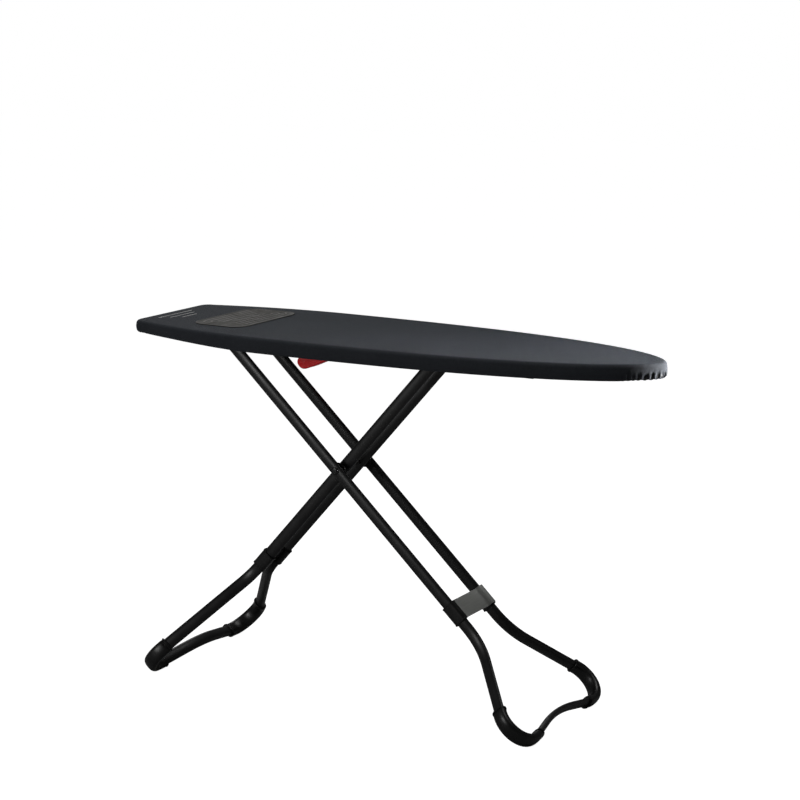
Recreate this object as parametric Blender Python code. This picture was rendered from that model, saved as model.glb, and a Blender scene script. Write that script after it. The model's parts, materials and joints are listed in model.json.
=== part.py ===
"""Folding ironing board: padded top on a steel frame, with crossing legs that fold flat.

The frame has its origin on the floor under the middle of the board, +X towards the nose, +Z up.
The outer legs are hinged under the square end. The inner legs cross them at a pair of bolts, and
their top bar slides in two slotted rails. A red lever drops a toothed catch to change the height.
"""
import math

import bmesh
import bpy
from mathutils import Euler, Matrix, Vector

# Board, metres
BOARD_LENGTH = 1.240
BOARD_WIDTH = 0.384
BOARD_HEIGHT = 0.8075
COVER_DEPTH = 0.0345
COVER_SKIN = 0.0012
COVER_HEM = 0.045
TAPER_START = -0.37
TAPER_POWER = 3.2
TAPER_ROUND = 1.72
TAIL_START = -0.25
TAIL_TAPER = 0.44
TAIL_RADIUS = 0.028
PAD_THICKNESS = 0.007
MESH_THICKNESS = 0.0015
MAT_X = -0.412
MAT_Y = 0.009
MAT_LONG = 0.136
MAT_WIDE = 0.240
MAT_RADIUS = 0.034
GAP = 0.0003

# Leg frames, metres and radians
PIVOT_X = -0.1252
PIVOT_DROP = 0.260
HINGE_DROP = 0.042
OUTER_ANGLE = math.radians(42.86)
INNER_ANGLE = math.radians(48.31)
OUTER_SPACING = 0.0622
INNER_SPACING = 0.0328
TUBE_DEEP = 0.0140
TUBE_FLAT = 0.0070
TUBE_WALL = 0.0013
TUBE_END = 0.015
FLARE_ANGLE = math.radians(37.5)
OUTER_FLARE_START = 0.4956
INNER_FLARE_START = 0.3764
OUTER_FLARE_RADIUS = 0.140
INNER_FLARE_RADIUS = 0.080
OUTER_FOOT = 0.7489
INNER_FOOT = 0.6857
FOOT_RADIUS = 0.050
ARCH_SLOPE = 0.204
ARCH_RADIUS = 0.30
CAP_WALL = 0.0025
CAP_ON_LEG = 0.010
CAP_ON_BAR = 0.012
TUBE_SIDES = 12
CAP_SQUARENESS = 2.5
SLEEVE_SQUARENESS = 3.6
SLEEVE_CLEARANCE = 0.0003
SLEEVE_WALL = 0.0020
OUTER_SLEEVE = (0.384, 0.432)
INNER_SLEEVE = (0.300, 0.346)
PLATE_SPAN = (0.382, 0.430)
PLATE_THICKNESS = 0.0012
PLATE_DECK = 0.0085
PLATE_CURL = 0.0078

# Hinges, rails and catch, metres
SIDE_PLAY = 0.0008
HEAD_PLAY = 0.0006
BRACKET_THICKNESS = 0.0025
BRACKET_HALF_LENGTH = 0.032
BRACKET_FLANGE = 0.024
BRACKET_BELOW = 0.012
ROD_RADIUS = 0.005
BAR_RADIUS = 0.004
BOLT_RADIUS = 0.004
RAIL_INSIDE = 0.0440
RAIL_THICKNESS = 0.002
RAIL_FLANGE = 0.018
RAIL_BELOW = 0.0125
RAIL_START = 0.004
RAIL_END = 0.346
SLOT_START = 0.029
SLOT_END = 0.3335
SLOT_BELOW = 0.0073
SLOT_ABOVE = 0.0062
RACK_TIP_DROP = 0.0080
RACK_DEPTH = 0.0105
RACK_PIN_DROP = 0.0063
RACK_HALF_WIDTH = 0.0035
RACK_PIN_X = 0.3395
RACK_PITCH = 0.022
LEVER_X = -0.0945
LEVER_DROP = 0.0045
LEVER_HALF_WIDTH = 0.018
PIN_RADIUS = 0.003

HALF_LENGTH = BOARD_LENGTH / 2
HALF_WIDTH = BOARD_WIDTH / 2
COVER_BOTTOM = BOARD_HEIGHT - COVER_DEPTH
PAD_TOP = BOARD_HEIGHT - COVER_SKIN - GAP
PAD_BOTTOM = PAD_TOP - PAD_THICKNESS
MESH_TOP = PAD_BOTTOM - GAP
MESH_BOTTOM = MESH_TOP - MESH_THICKNESS
UNDERSIDE = MESH_BOTTOM - GAP
HINGE_Z = BOARD_HEIGHT - HINGE_DROP
PIVOT_Z = HINGE_Z - PIVOT_DROP
OUTER_ARM = PIVOT_DROP / math.sin(OUTER_ANGLE)
INNER_ARM = PIVOT_DROP / math.sin(INNER_ANGLE)
HINGE_X = PIVOT_X - OUTER_ARM * math.cos(OUTER_ANGLE)
LEVER_Z = HINGE_Z - LEVER_DROP
RACK_TIP = HINGE_Z - RACK_TIP_DROP


def clear_scene():
    for item in list(bpy.data.objects):
        bpy.data.objects.remove(item, do_unlink=True)


def material(name, colour, roughness, metallic=0.0):
    made = bpy.data.materials.new(name)
    made.use_nodes = True
    shader = made.node_tree.nodes["Principled BSDF"]
    shader.inputs["Base Color"].default_value = (*colour, 1.0)
    shader.inputs["Roughness"].default_value = roughness
    shader.inputs["Metallic"].default_value = metallic
    made.diffuse_color = (*colour, 1.0)
    return made


def finish(name, bm, look, parent=None):
    """Turn a bmesh into a named object with outward faces and smooth round sides."""
    bmesh.ops.recalc_face_normals(bm, faces=bm.faces)
    mesh = bpy.data.meshes.new(name)
    bm.to_mesh(mesh)
    bm.free()
    mesh.shade_smooth()
    mesh.set_sharp_from_angle(angle=math.radians(35))
    mesh.materials.append(look)
    item = bpy.data.objects.new(name, mesh)
    bpy.context.scene.collection.objects.link(item)
    item.parent = parent
    return item


def axis_empty(name, location, turn):
    empty = bpy.data.objects.new(name, None)
    empty.location = location
    empty.rotation_euler = (0.0, turn, 0.0)
    bpy.context.scene.collection.objects.link(empty)
    return empty


def cut(item, cutter):
    """Subtract a cutter, which stays in the scene as a hidden guide."""
    cutter.hide_render = True
    cutter.display_type = "WIRE"
    modifier = item.modifiers.new("cut_" + cutter.name, "BOOLEAN")
    modifier.operation = "DIFFERENCE"
    modifier.solver = "EXACT"
    modifier.object = cutter


# ---------------------------------------------------------------- general shapes


def bridge(bm, rings):
    """Join rings of equal vertex count into a skin."""
    for first, second in zip(rings, rings[1:]):
        count = len(first)
        for i in range(count):
            j = (i + 1) % count
            bm.faces.new((first[i], first[j], second[j], second[i]))


def ring(bm, points):
    return [bm.verts.new(point) for point in points]


def prism(name, outline, low, high, axis, look, parent=None):
    """Extrude an outline given in the two axes across the extrusion axis."""
    slot = "XYZ".index(axis)
    bm = bmesh.new()
    ends = []
    for level in (low, high):
        points = [list(pair) for pair in outline]
        for point in points:
            point.insert(slot, level)
        ends.append(ring(bm, points))
    bridge(bm, ends)
    for end in ends:
        bm.faces.new(end)
    return finish(name, bm, look, parent)


def turned(name, profile, centre, look, parent=None, sides=16):
    """Turn a closed-ended profile of (y, radius) about a line along Y through centre."""
    bm = bmesh.new()
    rings = []
    for y, radius in profile:
        points = []
        for i in range(sides):
            angle = math.tau * i / sides
            points.append((centre[0] + radius * math.cos(angle), y, centre[1] + radius * math.sin(angle)))
        rings.append(ring(bm, points))
    bridge(bm, rings)
    bm.faces.new(rings[0])
    bm.faces.new(rings[-1])
    return finish(name, bm, look, parent)


def turned_sleeve(name, outside, bore, centre, look, parent=None, sides=16):
    """Turn an outer profile of (y, radius) with a plain bore along Y."""
    bm = bmesh.new()
    rings = []
    for y, radius in outside + [(outside[-1][0], bore), (outside[0][0], bore)]:
        points = []
        for i in range(sides):
            angle = math.tau * i / sides
            points.append((centre[0] + radius * math.cos(angle), y, centre[1] + radius * math.sin(angle)))
        rings.append(ring(bm, points))
    bridge(bm, rings + [rings[0]])
    return finish(name, bm, look, parent)


def rounded_path(corners, radii, steps):
    """Points along a flat path whose inner corners are arcs."""
    points = [corners[0]]
    for i, radius in enumerate(radii):
        before, corner, after = corners[i], corners[i + 1], corners[i + 2]
        into = (corner - before).normalized()
        out = (after - corner).normalized()
        turn = into.angle_signed(out)
        reach = radius * math.tan(abs(turn) / 2)
        side = -math.copysign(1.0, turn)
        centre = corner - into * reach + Vector((-into.y, into.x)) * radius * side
        start = corner - into * reach - centre
        count = steps[i]
        for step in range(count + 1):
            angle = -turn * step / count
            spun = Matrix.Rotation(angle, 2) @ start
            points.append(centre + spun)
    points.append(corners[-1])
    return points


def path_tangents(path):
    tangents = []
    for i, _ in enumerate(path):
        before = path[max(i - 1, 0)]
        after = path[min(i + 1, len(path) - 1)]
        into = (path[i] - before).normalized() if i else (after - path[i]).normalized()
        out = (after - path[i]).normalized() if i < len(path) - 1 else into
        tangents.append((into + out).normalized())
    return tangents


def oval_section(power):
    """Points of a unit oval: an ellipse at power 2, squarer above it."""
    points = []
    for i in range(TUBE_SIDES):
        angle = math.tau * i / TUBE_SIDES
        c, s = math.cos(angle), math.sin(angle)
        points.append((math.copysign(abs(c) ** (2 / power), c), math.copysign(abs(s) ** (2 / power), s)))
    return points


def oval_rings(bm, path, deep, flat, power=2.0):
    """Oval sections along a flat path: deep across the path's plane, flat within it."""
    rings = []
    for point, tangent in zip(path, path_tangents(path)):
        across = Vector((-tangent.y, tangent.x))
        points = []
        for along_flat, along_deep in oval_section(power):
            shift = across * flat * along_flat
            points.append((point.x + shift.x, point.y + shift.y, deep * along_deep))
        rings.append(ring(bm, points))
    return rings


def oval_tube(name, path, outside, inside, look, parent, power=2.0):
    """A hollow oval tube, open at both ends; outside and inside are (deep, flat) radii."""
    bm = bmesh.new()
    outer = oval_rings(bm, path, *outside, power)
    inner = oval_rings(bm, path, *inside)
    bridge(bm, outer)
    bridge(bm, inner)
    bridge(bm, [outer[0], inner[0]])
    bridge(bm, [outer[-1], inner[-1]])
    return finish(name, bm, look, parent)


# ---------------------------------------------------------------- board


def half_width_at(x):
    """Half width of the board: full behind the middle, tapering to a rounded nose."""
    if x < TAIL_START:
        return half_width_at(TAIL_START) - TAIL_TAPER * (x - TAIL_START) ** 2
    along = (x - TAPER_START) / (HALF_LENGTH - TAPER_START)
    return HALF_WIDTH * max(0.0, 1 - along**TAPER_POWER) ** (1 / TAPER_ROUND)


def board_outline():
    """Closed outline of the board, counterclockwise from the nose."""
    side = []
    nose_steps = 14
    for i in range(nose_steps):
        share = 1 - i / nose_steps
        x = HALF_LENGTH - 0.62 * (1 - share) ** 2.2
        side.append((x, half_width_at(x)))
    tail_x = -HALF_LENGTH + TAIL_RADIUS
    for i in range(8):
        x = tail_x * i / 7
        side.append((x, half_width_at(x)))
    corner_y = half_width_at(tail_x) - TAIL_RADIUS
    for i in range(1, 7):
        angle = math.pi / 2 * (1 + i / 6)
        x = tail_x + TAIL_RADIUS * math.cos(angle)
        side.append((x, corner_y + TAIL_RADIUS * math.sin(angle)))
    mirrored = [(x, -y) for x, y in reversed(side[1:])]
    return side + mirrored


def inset(outline, depth):
    """Draw an outline in by a depth at its ends and at its widest."""
    along = 1 - depth / HALF_LENGTH
    across = 1 - depth / HALF_WIDTH
    return [(x * along, y * across) for x, y in outline]


def layered(name, levels, look, closed_loop=False):
    """Stack insets of the board's outline, each given as (depth, z)."""
    outline = board_outline()
    bm = bmesh.new()
    rings = []
    for depth, z in levels:
        rings.append(ring(bm, [(x, y, z) for x, y in inset(outline, depth)]))
    if closed_loop:
        bridge(bm, rings + [rings[0]])
    else:
        bridge(bm, rings)
        bm.faces.new(rings[0])
        bm.faces.new(rings[-1])
    return finish(name, bm, look)


def make_cover(look):
    top = BOARD_HEIGHT
    skin = COVER_SKIN
    levels = [
        (0.008, top),
        (0.0025, top - 0.0025),
        (0.0, top - 0.008),
        (0.0, COVER_BOTTOM + 0.004),
        (0.003, COVER_BOTTOM),
        (COVER_HEM, COVER_BOTTOM),
        (COVER_HEM, COVER_BOTTOM + skin),
        (0.0045, COVER_BOTTOM + skin),
        (skin, COVER_BOTTOM + 0.005),
        (skin, top - 0.0085),
        (0.0035, top - 0.0036),
        (0.0085, top - skin),
    ]
    return layered("cover", levels, look)


def make_pad(look):
    levels = [(0.004, PAD_BOTTOM), (0.004, PAD_TOP - 0.0035), (0.0095, PAD_TOP)]
    return layered("foam_pad", levels, look)


def make_mesh_panel(look, cutter_look):
    """Sheet steel panel with rows of vent slots."""
    panel = layered("mesh_panel", [(0.006, MESH_BOTTOM), (0.006, MESH_TOP)], look)
    bm = bmesh.new()
    for row in range(-2, 3):
        for column in range(11):
            x = -0.525 + column * 0.092 + 0.02 * (row % 2)
            y = row * 0.056
            if abs(y) + 0.03 > half_width_at(x + 0.035):
                continue
            place = Matrix.Translation((x, y, MESH_BOTTOM)) @ Matrix.Diagonal((0.062, 0.016, 0.02, 1.0))
            bmesh.ops.create_cube(bm, size=1.0, matrix=place)
    cut(panel, finish("slots_cutter", bm, cutter_look))
    return panel


def make_rim(look):
    low = COVER_BOTTOM + COVER_SKIN + 0.0005
    high = UNDERSIDE
    levels = [
        (0.0025, low + 0.004),
        (0.0025, high - 0.003),
        (0.0050, high),
        (0.0110, high),
        (0.0135, high - 0.003),
        (0.0135, low + 0.003),
        (0.0110, low),
        (0.0065, low),
    ]
    return layered("rim_frame", levels, look, closed_loop=True)


def make_mat(look):
    """Heat-proof parking mat: a thin rounded rectangle laid on the cover."""
    low = BOARD_HEIGHT + GAP
    half = (MAT_LONG / 2 - MAT_RADIUS, MAT_WIDE / 2 - MAT_RADIUS)
    outline = []
    for quarter, (sign_x, sign_y) in enumerate(((1, 1), (-1, 1), (-1, -1), (1, -1))):
        for step in range(6):
            angle = math.pi / 2 * (quarter + step / 5)
            x = MAT_X + sign_x * half[0] + MAT_RADIUS * math.cos(angle)
            outline.append((x, MAT_Y + sign_y * half[1] + MAT_RADIUS * math.sin(angle)))
    bm = bmesh.new()
    rings = []
    for depth, z in ((0.0, low), (0.0, low + 0.0009), (0.0012, low + 0.0016)):
        shrink_x = 1 - 2 * depth / MAT_LONG
        shrink_y = 1 - 2 * depth / MAT_WIDE
        points = []
        for x, y in outline:
            points.append((MAT_X + (x - MAT_X) * shrink_x, MAT_Y + (y - MAT_Y) * shrink_y, z))
        rings.append(ring(bm, points))
    bridge(bm, rings)
    bm.faces.new(rings[0])
    bm.faces.new(rings[-1])
    return finish("parking_mat", bm, look)


# ---------------------------------------------------------------- fittings under the board


def drill(name, radius, centre, low, high, look, parent=None):
    return turned(name, [(low, radius), (high, radius)], centre, look, parent)


def make_rear_bracket(name, side, look, cutter_look):
    """Angle bracket beside an outer leg, drilled for the hinge rod."""
    inside = OUTER_SPACING + TUBE_FLAT + SIDE_PLAY
    thick = BRACKET_THICKNESS
    low = HINGE_Z - BRACKET_BELOW
    section = [
        (side * inside, low),
        (side * (inside + thick), low),
        (side * (inside + thick), UNDERSIDE - thick),
        (side * (inside + BRACKET_FLANGE), UNDERSIDE - thick),
        (side * (inside + BRACKET_FLANGE), UNDERSIDE),
        (side * inside, UNDERSIDE),
    ]
    start, stop = HINGE_X - BRACKET_HALF_LENGTH, HINGE_X + BRACKET_HALF_LENGTH
    bracket = prism(name, section, start, stop, "X", look)
    ends = sorted((side * (inside - 0.004), side * (inside + thick + 0.004)))
    hole = drill(name + "_cutter", ROD_RADIUS + GAP, (HINGE_X, HINGE_Z), *ends, cutter_look)
    cut(bracket, hole)
    return bracket


def headed_rod(name, half_length, radius, head_radius, head, centre, look, parent=None):
    profile = [
        (-half_length - head, head_radius * 0.8),
        (-half_length - head * 0.6, head_radius),
        (-half_length, head_radius),
        (-half_length, radius),
        (half_length, radius),
        (half_length, head_radius),
        (half_length + head * 0.6, head_radius),
        (half_length + head, head_radius * 0.8),
    ]
    return turned(name, profile, centre, look, parent)


def make_rail(name, side, look, cutter_look):
    """Slotted angle rail that guides one end of the inner legs' top bar."""
    inside = RAIL_INSIDE
    outside = inside + RAIL_THICKNESS
    low = HINGE_Z - RAIL_BELOW
    section = [
        (side * inside, low),
        (side * outside, low),
        (side * outside, UNDERSIDE - RAIL_THICKNESS),
        (side * (outside + RAIL_FLANGE), UNDERSIDE - RAIL_THICKNESS),
        (side * (outside + RAIL_FLANGE), UNDERSIDE),
        (side * inside, UNDERSIDE),
    ]
    rail = prism(name, section, RAIL_START, RAIL_END, "X", look)
    radius = (SLOT_BELOW + SLOT_ABOVE) / 2
    middle = HINGE_Z - SLOT_BELOW + radius
    slot = []
    for end, start in ((SLOT_END - radius, -math.pi / 2), (SLOT_START + radius, math.pi / 2)):
        for i in range(9):
            angle = start + math.pi * i / 8
            slot.append((end + radius * math.cos(angle), middle + radius * math.sin(angle)))
    ends = sorted((side * (inside - 0.003), side * (outside + 0.003)))
    cut(rail, prism(name + "_cutter", slot, *ends, "Y", cutter_look))
    return rail


def clevis(name, x, half_long, ears, low, pin, look, cutter_look):
    """U-shaped bracket: ears is (inside, thickness) and pin is (x, z, radius) of its hole."""
    inside, thick = ears
    web = UNDERSIDE - 0.002
    outside = inside + thick
    section = [
        (-outside, low),
        (-inside, low),
        (-inside, web),
        (inside, web),
        (inside, low),
        (outside, low),
        (outside, UNDERSIDE),
        (-outside, UNDERSIDE),
    ]
    bracket = prism(name, section, x - half_long, x + half_long, "X", look)
    reach = outside + 0.004
    hole = drill(name + "_cutter", pin[2] + GAP, pin[:2], -reach, reach, cutter_look)
    cut(bracket, hole)
    return bracket


def make_catch_rack(look, cutter_look, parent):
    """Toothed catch under the sliding bar, modelled from its own hinge at the nose end."""
    left = LEVER_X + 0.026 - RACK_PIN_X
    tip = RACK_PIN_DROP
    root = tip - 0.0045
    low = tip - RACK_DEPTH
    teeth_end = SLOT_START - 0.012 - RACK_PIN_X
    outline = [(0.0045, tip - 0.004), (0.0045, low + 0.003), (0.0, low), (left + 0.006, low)]
    outline += [(left, low + 0.004), (left, root), (teeth_end, root)]
    count = 13
    for i in range(count):
        x = teeth_end + i * RACK_PITCH
        outline.append((x + 0.003, tip))
        outline.append((x + 0.009, tip))
        outline.append((x + 0.012, root))
        outline.append((x + RACK_PITCH, root))
    outline.append((0.0, tip - 0.002))
    rack = prism("catch_rack", outline, -RACK_HALF_WIDTH, RACK_HALF_WIDTH, "Y", look, parent)
    hole = drill("rack_cutter", 0.0028, (0.0, 0.0), -0.006, 0.006, cutter_look, parent)
    cut(rack, hole)
    return rack


def make_lever(look, cutter_look, parent):
    """Release lever seen from the side: short arm over the catch, long grip towards the tail."""
    outline = [
        (0.031, 0.0085),
        (0.036, 0.004),
        (0.034, -0.0015),
        (0.011, -0.0085),
        (-0.045, -0.0165),
        (-0.088, -0.0275),
        (-0.128, -0.0440),
        (-0.146, -0.0490),
        (-0.158, -0.0440),
        (-0.163, -0.0325),
        (-0.156, -0.0230),
        (-0.110, -0.0155),
        (-0.050, -0.0040),
        (-0.010, 0.009),
        (0.006, 0.0105),
    ]
    lever = prism("release_lever", outline, -LEVER_HALF_WIDTH, LEVER_HALF_WIDTH, "Y", look, parent)
    bevel = lever.modifiers.new("rounded_edges", "BEVEL")
    bevel.width = 0.0028
    bevel.segments = 2
    bevel.limit_method = "ANGLE"
    bevel.angle_limit = math.radians(60)
    hole = drill("lever_cutter", PIN_RADIUS + GAP, (0.0, 0.0), -0.03, 0.03, cutter_look, parent)
    cut(lever, hole)
    return lever


def make_lever_spring(look):
    """Torsion spring wound round the lever pin, outside the near ear."""
    curve = bpy.data.curves.new("lever_spring", "CURVE")
    curve.dimensions = "3D"
    curve.bevel_depth = 0.0005
    curve.bevel_resolution = 1
    curve.use_fill_caps = True
    radius = 0.0045
    turns = 2.5
    per_turn = 12
    first_y = -0.0219
    points = [Vector((LEVER_X + 0.014, first_y, LEVER_Z + radius))]
    total = int(turns * per_turn)
    for i in range(total + 1):
        angle = math.pi / 2 + math.tau * i / per_turn
        y = first_y - 0.0030 * i / total
        points.append(Vector((LEVER_X + radius * math.cos(angle), y, LEVER_Z + radius * math.sin(angle))))
    points.append(Vector((LEVER_X + 0.013, points[-1].y, LEVER_Z - radius)))
    spline = curve.splines.new("POLY")
    spline.points.add(len(points) - 1)
    for place, point in zip(spline.points, points):
        place.co = (*point, 1.0)
    curve.materials.append(look)
    item = bpy.data.objects.new("lever_spring", curve)
    bpy.context.scene.collection.objects.link(item)
    return item


# ---------------------------------------------------------------- legs


def leg_corners(spacing, flare_start, foot, end, shift):
    """Corner points of a leg frame in its own plane, from the near top end to the far one."""
    spread = spacing + (foot - flare_start) * math.tan(FLARE_ANGLE)
    half = [(end, spacing), (flare_start, spacing), (foot, spread)]
    near = [Vector((s + shift, -y)) for s, y in half]
    far = [Vector((s + shift, y)) for s, y in reversed(half)]
    apex = Vector((foot - ARCH_SLOPE * spread + shift, 0.0))
    return near + [apex] + far


def make_leg_frame(name, corners, flare_radius, look, parent):
    radii = [flare_radius, FOOT_RADIUS, ARCH_RADIUS, FOOT_RADIUS, flare_radius]
    path = rounded_path(corners, radii, [5, 8, 6, 8, 5])
    inside = (TUBE_DEEP - TUBE_WALL, TUBE_FLAT - TUBE_WALL)
    return oval_tube(name, path, (TUBE_DEEP, TUBE_FLAT), inside, look, parent)


def make_foot_cap(name, corners, index, floor, look, parent):
    """Moulded corner sleeve over the tube, with a flat worn where it stands on the floor."""
    corner = corners[index]
    others = (corners[index - 1], corners[index + 1])
    turn = math.pi - (others[0] - corner).angle(others[1] - corner)
    reach = FOOT_RADIUS * math.tan(turn / 2)
    leg_first = index < 3
    lengths = (CAP_ON_LEG, CAP_ON_BAR) if leg_first else (CAP_ON_BAR, CAP_ON_LEG)
    ends = []
    for other, length in zip(others, lengths):
        ends.append(corner + (other - corner).normalized() * (reach + length))
    path = rounded_path([ends[0], corner, ends[1]], [FOOT_RADIUS], [8])
    bm = bmesh.new()
    wall = GAP + CAP_WALL
    outer = oval_rings(bm, path, TUBE_DEEP + wall, TUBE_FLAT + wall, CAP_SQUARENESS)
    inner = oval_rings(bm, path, TUBE_DEEP + GAP, TUBE_FLAT + GAP)
    bridge(bm, outer)
    bridge(bm, inner)
    bridge(bm, [outer[0], inner[0]])
    bridge(bm, [outer[-1], inner[-1]])
    plane = {"plane_co": floor[0], "plane_no": floor[1], "dist": 1e-6, "clear_inner": True}
    sliced = bmesh.ops.bisect_plane(bm, geom=bm.verts[:] + bm.edges[:] + bm.faces[:], **plane)
    rim = [item for item in sliced["geom_cut"] if isinstance(item, bmesh.types.BMEdge)]
    if rim:
        bmesh.ops.edgeloop_fill(bm, edges=rim)
    return finish(name, bm, look, parent)


def straight_sleeve(name, low, high, y, look, parent):
    """Squared clamp sleeve round one straight tube."""
    path = [Vector((low, y)), Vector((high, y))]
    inside = (TUBE_DEEP + SLEEVE_CLEARANCE, TUBE_FLAT + SLEEVE_CLEARANCE)
    outside = (inside[0] + SLEEVE_WALL, inside[1] + SLEEVE_WALL)
    return oval_tube(name, path, outside, inside, look, parent, SLEEVE_SQUARENESS)


def make_plug(name, end, y, look, parent):
    """Plastic plug in a tube's open top end, which faces -X in the leg's own frame."""
    bm = bmesh.new()
    stem = 0.005
    rings = []
    sections = [
        (end - GAP - 0.0030, TUBE_DEEP - 0.002, TUBE_FLAT - 0.002),
        (end - GAP - 0.0015, TUBE_DEEP, TUBE_FLAT),
        (end - GAP, TUBE_DEEP, TUBE_FLAT),
        (end - GAP, TUBE_DEEP - TUBE_WALL - GAP, TUBE_FLAT - TUBE_WALL - GAP),
        (end + stem, TUBE_DEEP - TUBE_WALL - GAP, TUBE_FLAT - TUBE_WALL - GAP),
    ]
    for x, deep, flat in sections:
        points = []
        for i in range(TUBE_SIDES):
            angle = math.tau * i / TUBE_SIDES
            points.append((x, y + flat * math.cos(angle), deep * math.sin(angle)))
        rings.append(ring(bm, points))
    bridge(bm, rings)
    bm.faces.new(rings[0])
    bm.faces.new(rings[-1])
    return finish(name, bm, look, parent)


def floor_in(empty_location, turn):
    """The floor plane, as a point and an upward normal, in a turned frame."""
    unturn = Euler((0.0, turn, 0.0)).to_matrix().transposed()
    point = unturn @ (Vector((0.0, 0.0, 0.0)) - Vector(empty_location))
    return point, unturn @ Vector((0.0, 0.0, 1.0))


def make_outer_legs(looks):
    place = (HINGE_X, 0.0, HINGE_Z)
    axis = axis_empty("outer_axis", place, OUTER_ANGLE)
    steel, plastic, plate, hidden = looks["steel"], looks["plastic"], looks["plate"], looks["hidden"]
    end = -OUTER_ARM - TUBE_END
    corners = leg_corners(OUTER_SPACING, OUTER_FLARE_START, OUTER_FOOT, end, OUTER_ARM)
    frame = make_leg_frame("outer_frame", corners, OUTER_FLARE_RADIUS, steel, axis)
    cut(frame, drill("hinge_cutter", ROD_RADIUS + GAP, (0.0, 0.0), -0.09, 0.09, hidden, axis))
    cut(frame, drill("cross_cutter", BOLT_RADIUS + GAP, (OUTER_ARM, 0.0), -0.09, 0.09, hidden, axis))
    floor = floor_in(place, OUTER_ANGLE)
    half = OUTER_SPACING + TUBE_FLAT + SIDE_PLAY + BRACKET_THICKNESS + HEAD_PLAY
    headed_rod("rear_hinge_rod", half, ROD_RADIUS, 0.0085, 0.003, (0.0, 0.0), looks["zinc"], axis)
    low, high = (OUTER_ARM + along for along in OUTER_SLEEVE)
    for side, word in ((-1, "near"), (1, "far")):
        y = side * OUTER_SPACING
        make_foot_cap("outer_foot_cap_" + word, corners, 2 if side < 0 else 4, floor, plastic, axis)
        make_plug("outer_plug_" + word, -TUBE_END, y, plastic, axis)
        straight_sleeve("brace_sleeve_" + word, low, high, y, plastic, axis)
        make_cross_bolt(word, side, steel, axis)
        make_spacer(word, side, plastic, axis)
    make_brace_plate(plate, axis)


def make_brace_plate(look, parent):
    """Pressed plate between the outer tubes: a rib by the near sleeve, a curl over the far one."""
    near = -(OUTER_SPACING - TUBE_FLAT - SLEEVE_CLEARANCE - SLEEVE_WALL)
    top = TUBE_DEEP + SLEEVE_CLEARANCE + SLEEVE_WALL + 0.0017
    line = [(near + 0.0014, PLATE_DECK - 0.0008), (near + 0.0039, PLATE_DECK + 0.0008)]
    line += [(near + 0.0059, PLATE_DECK + 0.0008), (near + 0.0074, PLATE_DECK)]
    curl_y = -near - 0.0019 - PLATE_CURL
    for step in range(6):
        angle = math.radians(-90 + 78 * step / 5)
        y = curl_y + PLATE_CURL * math.cos(angle)
        line.append((y, PLATE_DECK + PLATE_CURL * (1 + math.sin(angle))))
    line += [(-near - 0.0009, top - 0.0006), (-near + 0.0009, top), (OUTER_SPACING + 0.0040, top)]
    upper, lower = [], []
    for i, here in enumerate(line):
        before = Vector(line[max(i - 1, 0)])
        after = Vector(line[min(i + 1, len(line) - 1)])
        along = (after - before).normalized()
        across = Vector((-along.y, along.x)) * PLATE_THICKNESS / 2
        upper.append((here[0] + across.x, here[1] + across.y))
        lower.append((here[0] - across.x, here[1] - across.y))
    low, high = (OUTER_ARM + along for along in PLATE_SPAN)
    prism("brace_plate", upper + lower[::-1], low, high, "X", look, parent)


def make_cross_bolt(word, side, look, parent):
    """Shouldered bolt through one outer and one inner tube."""
    inner_face = INNER_SPACING - TUBE_FLAT - HEAD_PLAY
    outer_face = OUTER_SPACING + TUBE_FLAT + HEAD_PLAY
    profile = [
        (side * (inner_face - 0.0035), 0.0065),
        (side * inner_face, 0.0065),
        (side * inner_face, BOLT_RADIUS),
        (side * outer_face, BOLT_RADIUS),
        (side * outer_face, 0.0085),
        (side * (outer_face + 0.0016), 0.0085),
        (side * (outer_face + 0.0032), 0.0060),
    ]
    turned("cross_bolt_" + word, profile, (OUTER_ARM, 0.0), look, parent)


def make_spacer(word, side, look, parent):
    """Flanged spacer that keeps the inner and outer tubes apart at the crossing."""
    low = INNER_SPACING + TUBE_FLAT + HEAD_PLAY
    high = OUTER_SPACING - TUBE_FLAT - HEAD_PLAY
    outside = [
        (side * low, 0.0100),
        (side * (high - 0.0016), 0.0100),
        (side * (high - 0.0016), 0.0160),
        (side * high, 0.0160),
    ]
    turned_sleeve("cross_spacer_" + word, outside, BOLT_RADIUS + GAP, (OUTER_ARM, 0.0), look, parent)


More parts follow.
